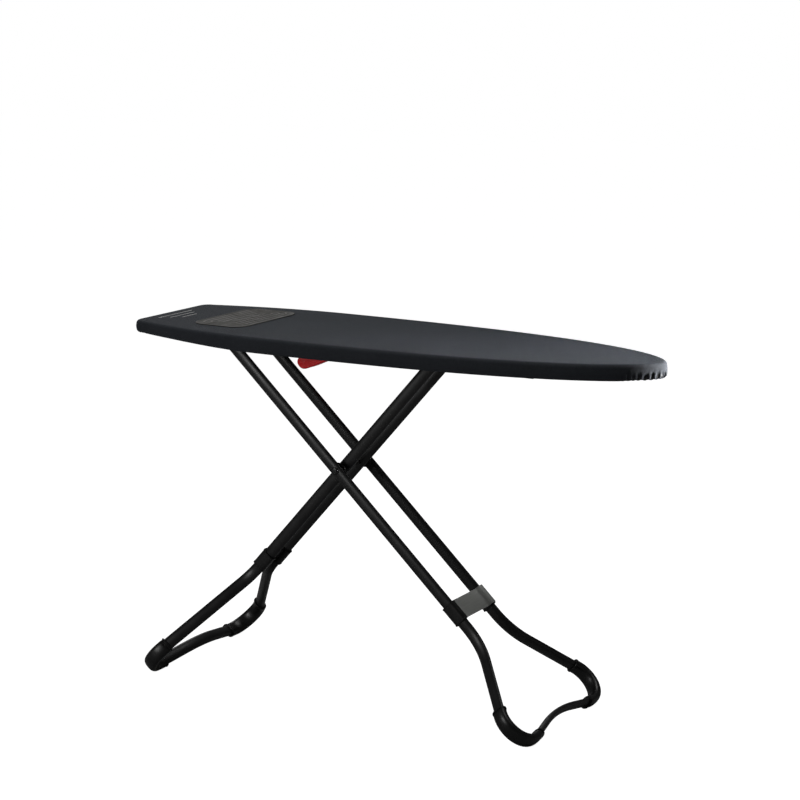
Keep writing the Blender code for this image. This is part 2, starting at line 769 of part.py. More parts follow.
def make_inner_legs(looks):
    place = (PIVOT_X, 0.0, PIVOT_Z)
    turn = math.pi - INNER_ANGLE
    axis = axis_empty("inner_axis", place, turn)
    steel, plastic, hidden = looks["steel"], looks["plastic"], looks["hidden"]
    end = -INNER_ARM - TUBE_END
    corners = leg_corners(INNER_SPACING, INNER_FLARE_START, INNER_FOOT, end, 0.0)
    frame = make_leg_frame("inner_frame", corners, INNER_FLARE_RADIUS, steel, axis)
    cut(frame, drill("bar_cutter", BAR_RADIUS + GAP, (-INNER_ARM, 0.0), -0.05, 0.05, hidden, axis))
    cut(frame, drill("inner_cross_cutter", BOLT_RADIUS + GAP, (0.0, 0.0), -0.05, 0.05, hidden, axis))
    floor = floor_in(place, turn)
    bar_half = RAIL_INSIDE + RAIL_THICKNESS + 0.0018
    headed_rod("slide_bar", bar_half, BAR_RADIUS, 0.0055, 0.0018, (-INNER_ARM, 0.0), looks["zinc"], axis)
    low, high = INNER_SLEEVE
    for side, word in ((-1, "near"), (1, "far")):
        y = side * INNER_SPACING
        make_foot_cap("inner_foot_cap_" + word, corners, 2 if side < 0 else 4, floor, plastic, axis)
        make_plug("inner_plug_" + word, end, y, plastic, axis)
        straight_sleeve("inner_sleeve_" + word, low, high, y, plastic, axis)
        spacer_low = INNER_SPACING + TUBE_FLAT + HEAD_PLAY
        outside = [(side * spacer_low, 0.0070), (side * (RAIL_INSIDE - HEAD_PLAY), 0.0070)]
        name = "bar_spacer_" + word
        turned_sleeve(name, outside, BAR_RADIUS + GAP, (-INNER_ARM, 0.0), plastic, axis, sides=16)
    half = INNER_SPACING - TUBE_FLAT - SLEEVE_CLEARANCE - SLEEVE_WALL - GAP
    web = [(low, -half), (high - 0.004, -half), (high + 0.030, -0.006), (high + 0.030, 0.006)]
    web += [(high - 0.004, half), (low, half)]
    prism("inner_brace_web", web, -0.004, 0.004, "Z", plastic, axis)


# ---------------------------------------------------------------- assembly


def make_board(looks):
    make_cover(looks["cover"])
    make_pad(looks["felt"])
    make_mesh_panel(looks["steel"], looks["hidden"])
    make_rim(looks["steel"])
    make_mat(looks["mat"])
    for side, word in ((-1, "near"), (1, "far")):
        make_rear_bracket("rear_bracket_" + word, side, looks["steel"], looks["hidden"])
        make_rail("slide_rail_" + word, side, looks["steel"], looks["hidden"])


def make_release(looks):
    """Lever, catch and their brackets and pins."""
    steel, zinc, hidden = looks["steel"], looks["zinc"], looks["hidden"]
    rack_pin = (RACK_PIN_X, RACK_TIP - RACK_PIN_DROP)
    inside = RACK_HALF_WIDTH + 0.0012
    ears = (inside, 0.002)
    hole = (*rack_pin, 0.0025)
    clevis("rack_bracket", RACK_PIN_X + 0.001, 0.0065, ears, rack_pin[1] - 0.0045, hole, steel, hidden)
    headed_rod("rack_pin", inside + 0.002 + 0.0004, 0.0025, 0.004, 0.0015, rack_pin, zinc)
    inside = LEVER_HALF_WIDTH + SIDE_PLAY
    lever_pin = (LEVER_X, LEVER_Z)
    ears = (inside, 0.0018)
    clevis("lever_bracket", LEVER_X, 0.014, ears, LEVER_Z - 0.008, (*lever_pin, PIN_RADIUS), steel, hidden)
    profile = [(-0.0255, PIN_RADIUS - 0.0005), (-0.0250, PIN_RADIUS), (0.0210, PIN_RADIUS)]
    profile += [(0.0210, 0.005), (0.0228, 0.005)]
    turned("lever_pin", profile, lever_pin, zinc, sides=16)
    make_lever_spring(zinc)
    lever_axis = axis_empty("lever_axis", (LEVER_X, 0.0, LEVER_Z), 0.0)
    make_lever(looks["red"], hidden, lever_axis)
    rack_axis = axis_empty("rack_axis", (rack_pin[0], 0.0, rack_pin[1]), 0.0)
    make_catch_rack(steel, hidden, rack_axis)


def main():
    clear_scene()
    looks = {
        "cover": material("cover_cloth", (0.022, 0.024, 0.029), 0.85),
        "felt": material("felt", (0.55, 0.54, 0.50), 0.95),
        "mat": material("parking_silicone", (0.055, 0.052, 0.050), 0.55),
        "steel": material("black_powder_coat", (0.012, 0.012, 0.013), 0.45, 0.0),
        "plastic": material("black_plastic", (0.010, 0.010, 0.010), 0.38),
        "zinc": material("zinc_plate", (0.55, 0.56, 0.58), 0.35, 1.0),
        "plate": material("brushed_plate", (0.42, 0.42, 0.40), 0.42, 1.0),
        "red": material("red_plastic", (0.60, 0.012, 0.012), 0.30),
        "hidden": material("cutter", (1.0, 0.5, 0.0), 0.5),
    }
    make_board(looks)
    make_release(looks)
    make_outer_legs(looks)
    make_inner_legs(looks)


main()
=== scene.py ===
"""Looks of a folding ironing board: padded dark cloth top on crossing oval-tube legs.

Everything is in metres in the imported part's frame: the floor is z = 0 and the nose points to +X.
"""
import json
import math

import bmesh
import bpy
import numpy as np
from mathutils import Matrix, Vector, noise


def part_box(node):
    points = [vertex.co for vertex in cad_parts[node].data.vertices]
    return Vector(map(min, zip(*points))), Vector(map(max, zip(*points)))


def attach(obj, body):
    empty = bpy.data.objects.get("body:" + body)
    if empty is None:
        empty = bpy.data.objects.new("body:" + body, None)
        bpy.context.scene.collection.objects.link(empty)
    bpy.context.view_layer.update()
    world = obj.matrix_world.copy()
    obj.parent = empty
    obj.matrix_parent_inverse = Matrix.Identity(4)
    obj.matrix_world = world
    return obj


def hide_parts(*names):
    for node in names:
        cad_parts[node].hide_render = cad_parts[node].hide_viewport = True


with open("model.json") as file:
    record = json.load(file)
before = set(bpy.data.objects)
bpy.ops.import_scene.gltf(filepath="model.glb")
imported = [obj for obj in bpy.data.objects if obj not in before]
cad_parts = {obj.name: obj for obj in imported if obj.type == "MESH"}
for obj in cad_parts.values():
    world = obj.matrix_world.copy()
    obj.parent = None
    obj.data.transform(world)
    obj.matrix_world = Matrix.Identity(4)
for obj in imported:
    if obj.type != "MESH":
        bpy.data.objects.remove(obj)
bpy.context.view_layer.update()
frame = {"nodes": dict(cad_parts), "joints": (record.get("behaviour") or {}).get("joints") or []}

# Board, metres
HALF_LENGTH = 0.620
HALF_WIDTH = 0.192
TAPER_START = -0.37
TAPER_POWER = 3.2
TAPER_ROUND = 1.72
TAIL_START = -0.25
TAIL_TAPER = 0.44
TAIL_RADIUS = 0.028
COVER_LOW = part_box("cover")[0].z
COVER_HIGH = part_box("cover")[1].z
CLOTH = 0.0007
TOP_ROUND = 0.0085
LOW_ROUND = 0.0060
HEM_REACH = 0.045
HEM_RISE = 0.0030
HEM_RUFFLE = 0.0013
HEM_RUFFLE_GAIN = 0.0016
HEM_SLACK = 0.28
TAIL_LIFT = 0.0065
FOLD_LENGTH = 0.0115
FOLD_SEED = 1
SPINE_SHARE = 0.74
TOP_RINGS = 30
PRINT_X = -0.586
PRINT_Y = -0.022
PRINT_HALF = 0.062
PRINT_PITCH = 0.020
STRIPE_CORE = 0.0009
STRIPE_EDGE = 0.0013
MAT_RADIUS = 0.034
MAT_RIBS = (0.014, 0.028, 0.042, 0.056)

# Leg frames, metres and radians, each in its own plane
JOINTS = {joint["name"]: joint for joint in frame["joints"]}
HINGE = Vector(JOINTS["fold"]["pos_m"])
CROSS = Vector(JOINTS["leg_cross"]["pos_m"])
OUTER_ANGLE = math.radians(42.86)
INNER_ANGLE = math.radians(48.31)
OUTER_SPACING = 0.0622
INNER_SPACING = 0.0328
TUBE_DEEP = 0.0140
TUBE_FLAT = 0.0070
TUBE_WALL = 0.0013
TUBE_END = 0.015
FLARE_ANGLE = math.radians(37.5)
OUTER_FLARE_START = 0.4956
INNER_FLARE_START = 0.3764
OUTER_FLARE_RADIUS = 0.140
INNER_FLARE_RADIUS = 0.080
OUTER_FOOT = 0.7489
INNER_FOOT = 0.6857
FOOT_RADIUS = 0.050
ARCH_SLOPE = 0.204
ARCH_RADIUS = 0.30
CAP_WALL = 0.0025
CAP_ON_LEG = 0.010
CAP_ON_BAR = 0.012
TUBE_GAP = 0.0003
LOOSE_BORE = (TUBE_DEEP + TUBE_GAP, TUBE_FLAT + TUBE_GAP)
SLEEVE_WALL = 0.0023
OUTER_SLEEVE = (0.384, 0.432)
INNER_SLEEVE = (0.300, 0.346)
PLATE_SPAN = (0.382, 0.430)
WASHER_GAP = 0.0006
RAIL_FACE = 0.0440
BOLT_BORE = 0.0043
DROP = HINGE.z - CROSS.z
OUTER_ARM = DROP / math.sin(OUTER_ANGLE)
INNER_ARM = DROP / math.sin(INNER_ANGLE)
OUTER_FRAME = Matrix.Translation(HINGE) @ Matrix.Rotation(OUTER_ANGLE, 4, "Y")
INNER_FRAME = Matrix.Translation(CROSS) @ Matrix.Rotation(math.pi - INNER_ANGLE, 4, "Y")
SIDES = 32

# Studio: light sent to the object, and the even white shown behind it
WORLD_LIGHT = 0.065
WORLD_GLOW = 1.0
FLOOR_GLOW = 0.98


# ---- materials


class Shader:
    """A material under construction: Principled BSDF with a few chained nodes."""

    def __init__(self, name, colour, roughness, metallic=0.0, **sockets):
        self.material = bpy.data.materials.new(name)
        self.material.use_nodes = True
        self.tree = self.material.node_tree
        self.bsdf = self.tree.nodes["Principled BSDF"]
        self.bsdf.inputs["Base Color"].default_value = (*colour, 1.0)
        self.bsdf.inputs["Roughness"].default_value = roughness
        self.bsdf.inputs["Metallic"].default_value = metallic
        for key, value in sockets.items():
            self.bsdf.inputs[key.replace("_", " ")].default_value = value
        self.material.diffuse_color = (*colour, 1.0)

    def node(self, kind, inputs=(), **settings):
        made = self.tree.nodes.new("ShaderNode" + kind)
        for key, value in settings.items():
            setattr(made, key, value)
        for key, value in dict(inputs).items():
            if isinstance(value, bpy.types.NodeSocket):
                self.tree.links.new(value, made.inputs[key])
            else:
                made.inputs[key].default_value = value
        return made

    def link(self, socket, name):
        self.tree.links.new(socket, self.bsdf.inputs[name])

    def place(self, scale=(1, 1, 1), uv=False):
        """Object or UV coordinates, in metres, times a scale."""
        source = self.node("TexCoord").outputs["UV" if uv else "Object"]
        return self.node("Mapping", {"Vector": source, "Scale": scale}).outputs["Vector"]

    def noise(self, vector, scale, detail=2.0, roughness=0.5):
        inputs = {"Vector": vector, "Scale": scale, "Detail": detail, "Roughness": roughness}
        return self.node("TexNoise", inputs).outputs["Fac"]

    def math(self, operation, first, second=0.0):
        return self.node("Math", {0: first, 1: second}, operation=operation).outputs[0]

    def span(self, value, low, high, to_low=0.0, to_high=1.0):
        inputs = {"Value": value, "From Min": low, "From Max": high, "To Min": to_low, "To Max": to_high}
        return self.node("MapRange", inputs).outputs["Result"]

    def mix(self, factor, first, second):
        made = self.node("Mix", data_type="RGBA")
        for socket, value in ((made.inputs[0], factor), (made.inputs[6], first), (made.inputs[7], second)):
            if isinstance(value, bpy.types.NodeSocket):
                self.tree.links.new(value, socket)
            else:
                socket.default_value = (*value, 1.0) if isinstance(value, tuple) else value
        return made.outputs[2]

    def bump(self, height, distance, strength=1.0, after=None):
        inputs = {"Height": height, "Distance": distance, "Strength": strength}
        if after is not None:
            inputs["Normal"] = after
        return self.node("Bump", inputs).outputs["Normal"]

    def separate(self, vector):
        return self.node("SeparateXYZ", {"Vector": vector}).outputs


def stripes_print(shader, u, v):
    """Mask of three plain stripes, each shorter than the last, near the cover's square end."""
    mask = None
    along = shader.math("ABSOLUTE", shader.math("SUBTRACT", v, PRINT_Y))
    for row, half in enumerate((1.0, 0.72, 0.44)):
        near = shader.math("ABSOLUTE", shader.math("SUBTRACT", u, PRINT_X + PRINT_PITCH * row))
        line = shader.span(near, STRIPE_CORE, STRIPE_EDGE, 1.0, 0.0)
        ends = shader.span(along, PRINT_HALF * half, PRINT_HALF * half + 0.0005, 1.0, 0.0)
        stripe = shader.math("MULTIPLY", line, ends)
        mask = stripe if mask is None else shader.math("MAXIMUM", mask, stripe)
    return mask


def cover_cloth():
    """Woven cotton: crossing yarns, slubs, a faint melange and a soft sheen."""
    sheen = {"Sheen_Weight": 0.04, "Sheen_Roughness": 0.5, "Sheen_Tint": (0.75, 0.85, 1.0, 1.0)}
    look = Shader("cover_cotton", (0.024, 0.026, 0.031), 0.85, Specular_IOR_Level=0.12, **sheen)
    yarn = 0.00062
    cloth = look.place(uv=True)
    parts = look.separate(cloth)
    warp = look.math("SINE", look.math("MULTIPLY", parts[0], math.tau / yarn))
    weft = look.math("SINE", look.math("MULTIPLY", parts[1], math.tau / yarn))
    weave = look.math("MULTIPLY", warp, weft)
    slub_x = look.noise(look.place((60, 1400, 1), uv=True), 1.0, 3.0)
    slub_y = look.noise(look.place((1400, 60, 1), uv=True), 1.0, 3.0)
    slub = look.math("ADD", slub_x, slub_y)
    broad = look.noise(cloth, 9.0, 3.0)
    melange = look.math("ADD", look.span(slub, 0.7, 1.3), look.span(broad, 0.3, 0.7, -0.15, 0.15))
    tone = look.mix(melange, (0.018, 0.020, 0.024), (0.031, 0.034, 0.040))
    printed = stripes_print(look, parts[0], parts[1])
    look.link(look.mix(printed, tone, (0.62, 0.62, 0.60)), "Base Color")
    look.link(look.span(slub, 0.7, 1.3, 0.74, 0.90), "Roughness")
    fine = look.bump(weave, 0.00012, 0.55)
    coarse = look.bump(slub, 0.00025, 0.45, fine)
    look.link(coarse, "Normal")
    return look.material


def needle_felt():
    """Pale needle felt: matted fibres over soft lumps."""
    look = Shader("needle_felt", (0.50, 0.49, 0.45), 0.95, Sheen_Weight=0.2)
    where = look.place()
    fibres = look.noise(where, 900.0, 4.0, 0.7)
    lumps = look.noise(where, 60.0, 3.0)
    tone = look.mix(look.span(fibres, 0.3, 0.7), (0.40, 0.39, 0.36), (0.60, 0.59, 0.55))
    look.link(tone, "Base Color")
    look.link(look.bump(look.math("ADD", fibres, lumps), 0.0006, 0.6), "Normal")
    return look.material


def parking_silicone():
    """Silicone-coated cloth: warm dark grey, with a faint grain, and a painted highlight on the rib crests.
    """
    look = Shader("parking_silicone", (0.038, 0.036, 0.032), 0.6, Specular_IOR_Level=0.2)
    where = look.place()
    grain = look.noise(where, 1500.0, 3.0, 0.6)
    rub = look.noise(where, 34.0, 4.0, 0.6)
    height = look.separate(where)[2]
    # Painted highlight: the tops of the ribs are coloured lighter, standing in for light catching them.
    painted_crest_highlight = look.span(height, COVER_HIGH + 0.0015, COVER_HIGH + 0.0022)
    base = look.mix(look.span(rub, 0.35, 0.7), (0.018, 0.017, 0.015), (0.028, 0.027, 0.024))
    look.link(look.mix(look.math("MULTIPLY", painted_crest_highlight, 0.8), base, (0.095, 0.091, 0.082)), "Base Color")
    look.link(look.span(rub, 0.3, 0.7, 0.52, 0.70), "Roughness")
    look.link(look.bump(grain, 0.00012, 0.5), "Normal")
    return look.material


def powder_coat():
    """Satin black powder coat: fine orange peel, dust in the satin and a few rubbed spots."""
    look = Shader("powder_coat", (0.009, 0.009, 0.0094), 0.40, Specular_IOR_Level=0.42)
    where = look.place()
    peel = look.noise(where, 650.0, 2.0, 0.45)
    grain = look.noise(where, 2600.0, 2.0, 0.5)
    rub = look.noise(where, 22.0, 5.0, 0.62)
    scuff = look.span(look.noise(look.place((9, 60, 60)), 3.0, 6.0, 0.7), 0.66, 0.74)
    tone = look.mix(look.span(rub, 0.35, 0.7), (0.007, 0.007, 0.0073), (0.012, 0.012, 0.0124))
    look.link(look.mix(look.math("MULTIPLY", scuff, 0.3), tone, (0.035, 0.035, 0.035)), "Base Color")
    look.link(look.span(rub, 0.3, 0.7, 0.33, 0.47), "Roughness")
    fine = look.bump(grain, 0.00004, 0.35)
    look.link(look.bump(peel, 0.00010, 0.35, fine), "Normal")
    return look.material


def worn(look, scale, tones, satin):
    """Two tones and a satin that both follow one noise."""
    rub = look.noise(look.place(), scale, 4.0, 0.6)
    look.link(look.mix(look.span(rub, 0.3, 0.7), *tones), "Base Color")
    look.link(look.span(rub, 0.3, 0.7, *satin), "Roughness")


def moulded_plastic():
    """Black moulded plastic: spark-eroded grain, glossier where it is rubbed."""
    look = Shader("moulded_black", (0.007, 0.007, 0.007), 0.36, Specular_IOR_Level=0.38)
    worn(look, 40.0, ((0.005, 0.005, 0.005), (0.010, 0.010, 0.010)), (0.26, 0.42))
    grain = look.noise(look.place(), 1900.0, 3.0, 0.6)
    look.link(look.bump(grain, 0.00005, 0.4), "Normal")
    return look.material


def zinc_plate():
    """Bright zinc: bluish metal with a faint mottled passivation."""
    look = Shader("zinc_plate", (0.58, 0.60, 0.62), 0.32, metallic=1.0)
    worn(look, 160.0, ((0.50, 0.52, 0.55), (0.66, 0.67, 0.66)), (0.24, 0.42))
    look.link(look.bump(look.noise(look.place(), 1200.0, 2.0), 0.00004, 0.3), "Normal")
    return look.material


def brushed_plate():
    """Grey brushed steel: fine scratches along the cross direction of the board."""
    look = Shader("brushed_plate", (0.42, 0.43, 0.41), 0.58, metallic=0.3)
    scratch = look.noise(look.place((1800, 12, 1800)), 1.0, 4.0, 0.7)
    cloud = look.noise(look.place(), 45.0, 3.0)
    tone = look.mix(look.span(scratch, 0.25, 0.75), (0.34, 0.35, 0.33), (0.50, 0.51, 0.49))
    look.link(tone, "Base Color")
    satin = look.span(scratch, 0.25, 0.75, 0.50, 0.64)
    look.link(look.math("ADD", satin, look.span(cloud, 0.3, 0.7, -0.04, 0.04)), "Roughness")
    look.link(look.bump(scratch, 0.00003, 0.5), "Normal")
    return look.material


def red_gloss():
    """Glossy red plastic with a thin clear skin and handling marks."""
    look = Shader("red_gloss", (0.78, 0.006, 0.010), 0.30, Coat_Weight=0.3, Coat_Roughness=0.15)
    where = look.place()
    marks = look.noise(look.place((30, 220, 220)), 2.0, 5.0, 0.7)
    flow = look.noise(where, 30.0, 2.0)
    look.link(look.mix(look.span(flow, 0.3, 0.7), (0.70, 0.006, 0.009), (0.86, 0.010, 0.014)), "Base Color")
    look.link(look.span(marks, 0.4, 0.8, 0.22, 0.40), "Roughness")
    look.link(look.bump(look.noise(where, 500.0, 2.0), 0.00004, 0.25), "Normal")
    return look.material


def thread():
    """Twisted polyester sewing thread."""
    look = Shader("hem_thread", (0.045, 0.048, 0.055), 0.6, Sheen_Weight=0.3)
    twist = look.noise(look.place(), 3000.0, 2.0)
    look.link(look.mix(twist, (0.03, 0.032, 0.038), (0.07, 0.074, 0.082)), "Base Color")
    look.link(look.bump(twist, 0.0001, 0.6), "Normal")
    return look.material


# ---- mesh helpers


def link_mesh(name, mesh, look, body, replaced=()):
    item = bpy.data.objects.new(name, mesh)
    bpy.context.scene.collection.objects.link(item)
    mesh.materials.clear()
    mesh.materials.append(look)
    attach(item, body)
    if replaced:
        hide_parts(*replaced)
    return item


def finish_mesh(name, bm, place=None, smooth=38):
    """Turn a bmesh into a mesh with outward faces and smooth round sides."""
    bmesh.ops.recalc_face_normals(bm, faces=bm.faces)
    if place is not None:
        bmesh.ops.transform(bm, matrix=place, verts=bm.verts)
    mesh = bpy.data.meshes.new(name)
    bm.to_mesh(mesh)
    bm.free()
    mesh.shade_smooth()
    mesh.set_sharp_from_angle(angle=math.radians(smooth))
    return mesh


def ring(bm, points):
    return [bm.verts.new(point) for point in points]


def bridge(bm, rings, closed=False):
    """Join rings of equal vertex count into a skin."""
    pairs = list(zip(rings, rings[1:]))
    if closed:
        pairs.append((rings[-1], rings[0]))
    for first, second in pairs:
        count = len(first)
        for i in range(count):
            j = (i + 1) % count
            bm.faces.new((first[i], first[j], second[j], second[i]))


def cap_ends(bm, rings):
    bm.faces.new(rings[0])
    bm.faces.new(rings[-1])


def turned_rings(bm, profile, centre, sides=40):
    """Rings of a profile of (y, radius) about a line along Y through centre."""
    rings = []
    for y, radius in profile:
        points = []
        for i in range(sides):
            angle = math.tau * i / sides
            points.append((centre[0] + radius * math.cos(angle), y, centre[1] + radius * math.sin(angle)))
        rings.append(ring(bm, points))
    return rings


def turned(profile, centre, place):
    """A turned solid with flat ends."""
    bm = bmesh.new()
    rings = turned_rings(bm, profile, centre)
    bridge(bm, rings)
    cap_ends(bm, rings)
    return finish_mesh("turned", bm, place)


def turned_sleeve(outside, bore, centre, place):
    """A turned collar with a plain bore."""
    bm = bmesh.new()
    profile = outside + [(outside[-1][0], bore), (outside[0][0], bore)]
    rings = turned_rings(bm, profile, centre)
    bridge(bm, rings, closed=True)
    return finish_mesh("sleeve", bm, place)


def on_side(outline, side):
    """An outline of (y, radius) for the near side (-1) or the far side (1)."""
    return [(side * y, radius) for y, radius in outline]


def rounded_path(corners, radii, steps):
    """Points along a flat path whose inner corners are arcs."""
    points = [corners[0]]
    for i, radius in enumerate(radii):
        before, corner, after = corners[i], corners[i + 1], corners[i + 2]
        into = (corner - before).normalized()
        out = (after - corner).normalized()
        turn = into.angle_signed(out)
        reach = radius * math.tan(abs(turn) / 2)
        side = -math.copysign(1.0, turn)
        centre = corner - into * reach + Vector((-into.y, into.x)) * radius * side
        start = corner - into * reach - centre
        for step in range(steps[i] + 1):
            points.append(centre + Matrix.Rotation(-turn * step / steps[i], 2) @ start)
    points.append(corners[-1])
    return points


def running_length(path):
    """Length from the start of a path to each of its points."""
    lengths = [0.0]
    for a, b in zip(path, path[1:]):
        lengths.append(lengths[-1] + (b - a).length)
    return lengths


def points_at(path, lengths, at):
    """Columns of x and y at given lengths along a path."""
    return np.column_stack([np.interp(at, lengths, [p[axis] for p in path]) for axis in (0, 1)])


def path_tangents(path):
    tangents = []
    for i, here in enumerate(path):
        into = (here - path[i - 1]).normalized() if i else (path[1] - here).normalized()
        out = (path[i + 1] - here).normalized() if i < len(path) - 1 else into
        tangents.append((into + out).normalized())
    return tangents


def section(angle, power):
    """Unit oval at power 2, squarer above it."""
    c, s = math.cos(angle), math.sin(angle)
    return (
        math.copysign(abs(c) ** (2 / power), c),
        math.copysign(abs(s) ** (2 / power), s),
    )


def swept_rings(bm, path, sizes, power=2.0):
    """Oval rings along a flat path; sizes gives (deep, flat) at every point."""
    rings = []
    for point, tangent, (deep, flat) in zip(path, path_tangents(path), sizes):
        across = Vector((-tangent.y, tangent.x))
        points = []
        for i in range(SIDES):
            c, s = section(math.tau * i / SIDES, power)
            shift = across * flat * c
            points.append((point.x + shift.x, point.y + shift.y, deep * s))
        rings.append(ring(bm, points))
    return rings


def hollow_sweep(path, outer_sizes, inner_size, place, power=2.0, floor=False):
    """A closed skin between an outer sweep and a plain oval bore, both on one path."""
    bm = bmesh.new()
    outer = swept_rings(bm, path, outer_sizes, power)
    inner = swept_rings(bm, path, [inner_size] * len(path))
    bridge(bm, outer)
    bridge(bm, inner)
    bridge(bm, [outer[0], inner[0]])
    bridge(bm, [outer[-1], inner[-1]])
    mesh = finish_mesh("sweep", bm, place)
    if floor:
        for vertex in mesh.vertices:
            vertex.co.z = max(vertex.co.z, 0.0)
    return mesh


def dense(path, spacing):
    """Extra points on straight stretches longer than spacing."""
    points = [path[0]]
    for a, b in zip(path, path[1:]):
        count = max(1, math.ceil((b - a).length / spacing))
        points += [a.lerp(b, k / count) for k in range(1, count + 1)]
    return points


def refine(node, look, bevel=0.0005, segments=2):
    """Give a CAD piece its finished material and softened edges."""
    item = frame["nodes"][node]
    item.data.materials.clear()
    item.data.materials.append(look)
    weld = item.modifiers.new("weld", "WELD")
    weld.merge_threshold = 0.00002
    edges = item.modifiers.new("soft_edges", "BEVEL")
    edges.width = bevel
    edges.segments = segments
    edges.limit_method = "ANGLE"
    edges.angle_limit = math.radians(32)
    edges.harden_normals = True
    item.data.shade_smooth()
    return item


# ---- board outline


def half_width_at(x):
    """Half width of the board: full behind the middle, tapering to a rounded nose."""
    if x < TAIL_START:
        return half_width_at(TAIL_START) - TAIL_TAPER * (x - TAIL_START) ** 2
    along = (x - TAPER_START) / (HALF_LENGTH - TAPER_START)
    return HALF_WIDTH * max(0.0, 1 - along**TAPER_POWER) ** (1 / TAPER_ROUND)


def half_outline():
    """Fine points of the +Y side, from the nose tip to the middle of the square end."""
    stations = [HALF_LENGTH - 1.2 * (i / 900) ** 2.2 for i in range(900)]
    tail_x = -HALF_LENGTH + TAIL_RADIUS
    points = [(x, half_width_at(x)) for x in stations if x > tail_x]
    corner_y = half_width_at(tail_x) - TAIL_RADIUS
    for i in range(41):
        angle = math.pi / 2 * (1 + i / 40)
        points.append((tail_x + TAIL_RADIUS * math.cos(angle), corner_y + TAIL_RADIUS * math.sin(angle)))
    points.append((-HALF_LENGTH, 0.0))
    return np.array(points)


def spacing_at(x):
    """Point spacing round the edge: fine where the cloth is gathered."""
    nose = np.clip((x - 0.40) / 0.12, 0, 1)
    tail = np.clip((-0.50 - x) / 0.06, 0, 1)
    return 0.0060 - 0.0044 * np.maximum(nose, 0.75 * tail)


class Outline:
    """Resampled closed outline: points, outward normals and arc length, counterclockwise."""

    def __init__(self, coarse=1.0):
        fine = half_outline()
        step = np.linalg.norm(np.diff(fine, axis=0), axis=1)
        arc = np.concatenate([[0], np.cumsum(step)])
        middle = (fine[1:, 0] + fine[:-1, 0]) / 2
        ticks = np.concatenate([[0], np.cumsum(step / (spacing_at(middle) * coarse))])
        count = int(round(ticks[-1]))
        at = np.interp(np.linspace(0, ticks[-1], count + 1), ticks, arc)
        x = np.interp(at, arc, fine[:, 0])
        y = np.interp(at, arc, fine[:, 1])
        self.points = np.concatenate([np.stack([x, y], 1), np.stack([x, -y], 1)[-2:0:-1]])
        self.arc = np.concatenate([at, 2 * at[-1] - at[-2:0:-1]])
        self.length = 2 * at[-1]
        ahead = np.roll(self.points, -2, axis=0) - np.roll(self.points, 2, axis=0)
        normal = np.stack([ahead[:, 1], -ahead[:, 0]], 1)
        self.normals = normal / np.linalg.norm(normal, axis=1)[:, None]

    def offset(self, depth):
        return self.points - self.normals * np.broadcast_to(depth, self.arc.shape)[:, None]

    def inset(self, depth):
        """Drawn in by a depth at its ends and at its widest."""
        return self.points * np.array([1 - depth / HALF_LENGTH, 1 - depth / HALF_WIDTH])


def spine_of(points):
    """The line along the middle of the board that the inner rings close on."""
    return np.column_stack([points[:, 0] * SPINE_SHARE, np.zeros(len(points))])


def smoothstep(value):
    value = np.clip(value, 0, 1)
    return value * value * (3 - 2 * value)


def wobble(values, scale, seed):
    """Smooth noise along a line, about -1 to 1."""
    return np.array([noise.noise((v * scale, seed * 7.31, 0.37 * seed)) * 1.6 for v in values])


def low_edge(x):
    """Height of the cover's lower edge: the hem is drawn up at the square end."""
    return COVER_LOW + TAIL_LIFT * smoothstep((-0.25 - x) / 0.33)


# ---- cover


def gathering(outline):
    """How strongly the cloth is gathered round the edge, 0 to 1."""
    x = outline.points[:, 0]
    nose = smoothstep((x - 0.545) / 0.045)
    corner = np.exp(-((x + 0.603) / 0.030) ** 2) * smoothstep((np.abs(outline.points[:, 1]) - 0.09) / 0.05)
    return np.maximum(nose, 0.55 * corner)


def folds(outline, wavelength, seed):
    """Irregular fold pattern round the edge, about -1 to 1."""
    arc = np.minimum(outline.arc, outline.length - outline.arc)
    side = np.where(outline.arc < outline.length / 2, 0.0, 3.1)
    bend = wobble(arc + side, 38.0, seed) * 2.4
    wave = np.sin(math.tau * arc / wavelength + bend + side)
    return wave * (0.65 + 0.35 * wobble(arc + side, 70.0, seed + 5))


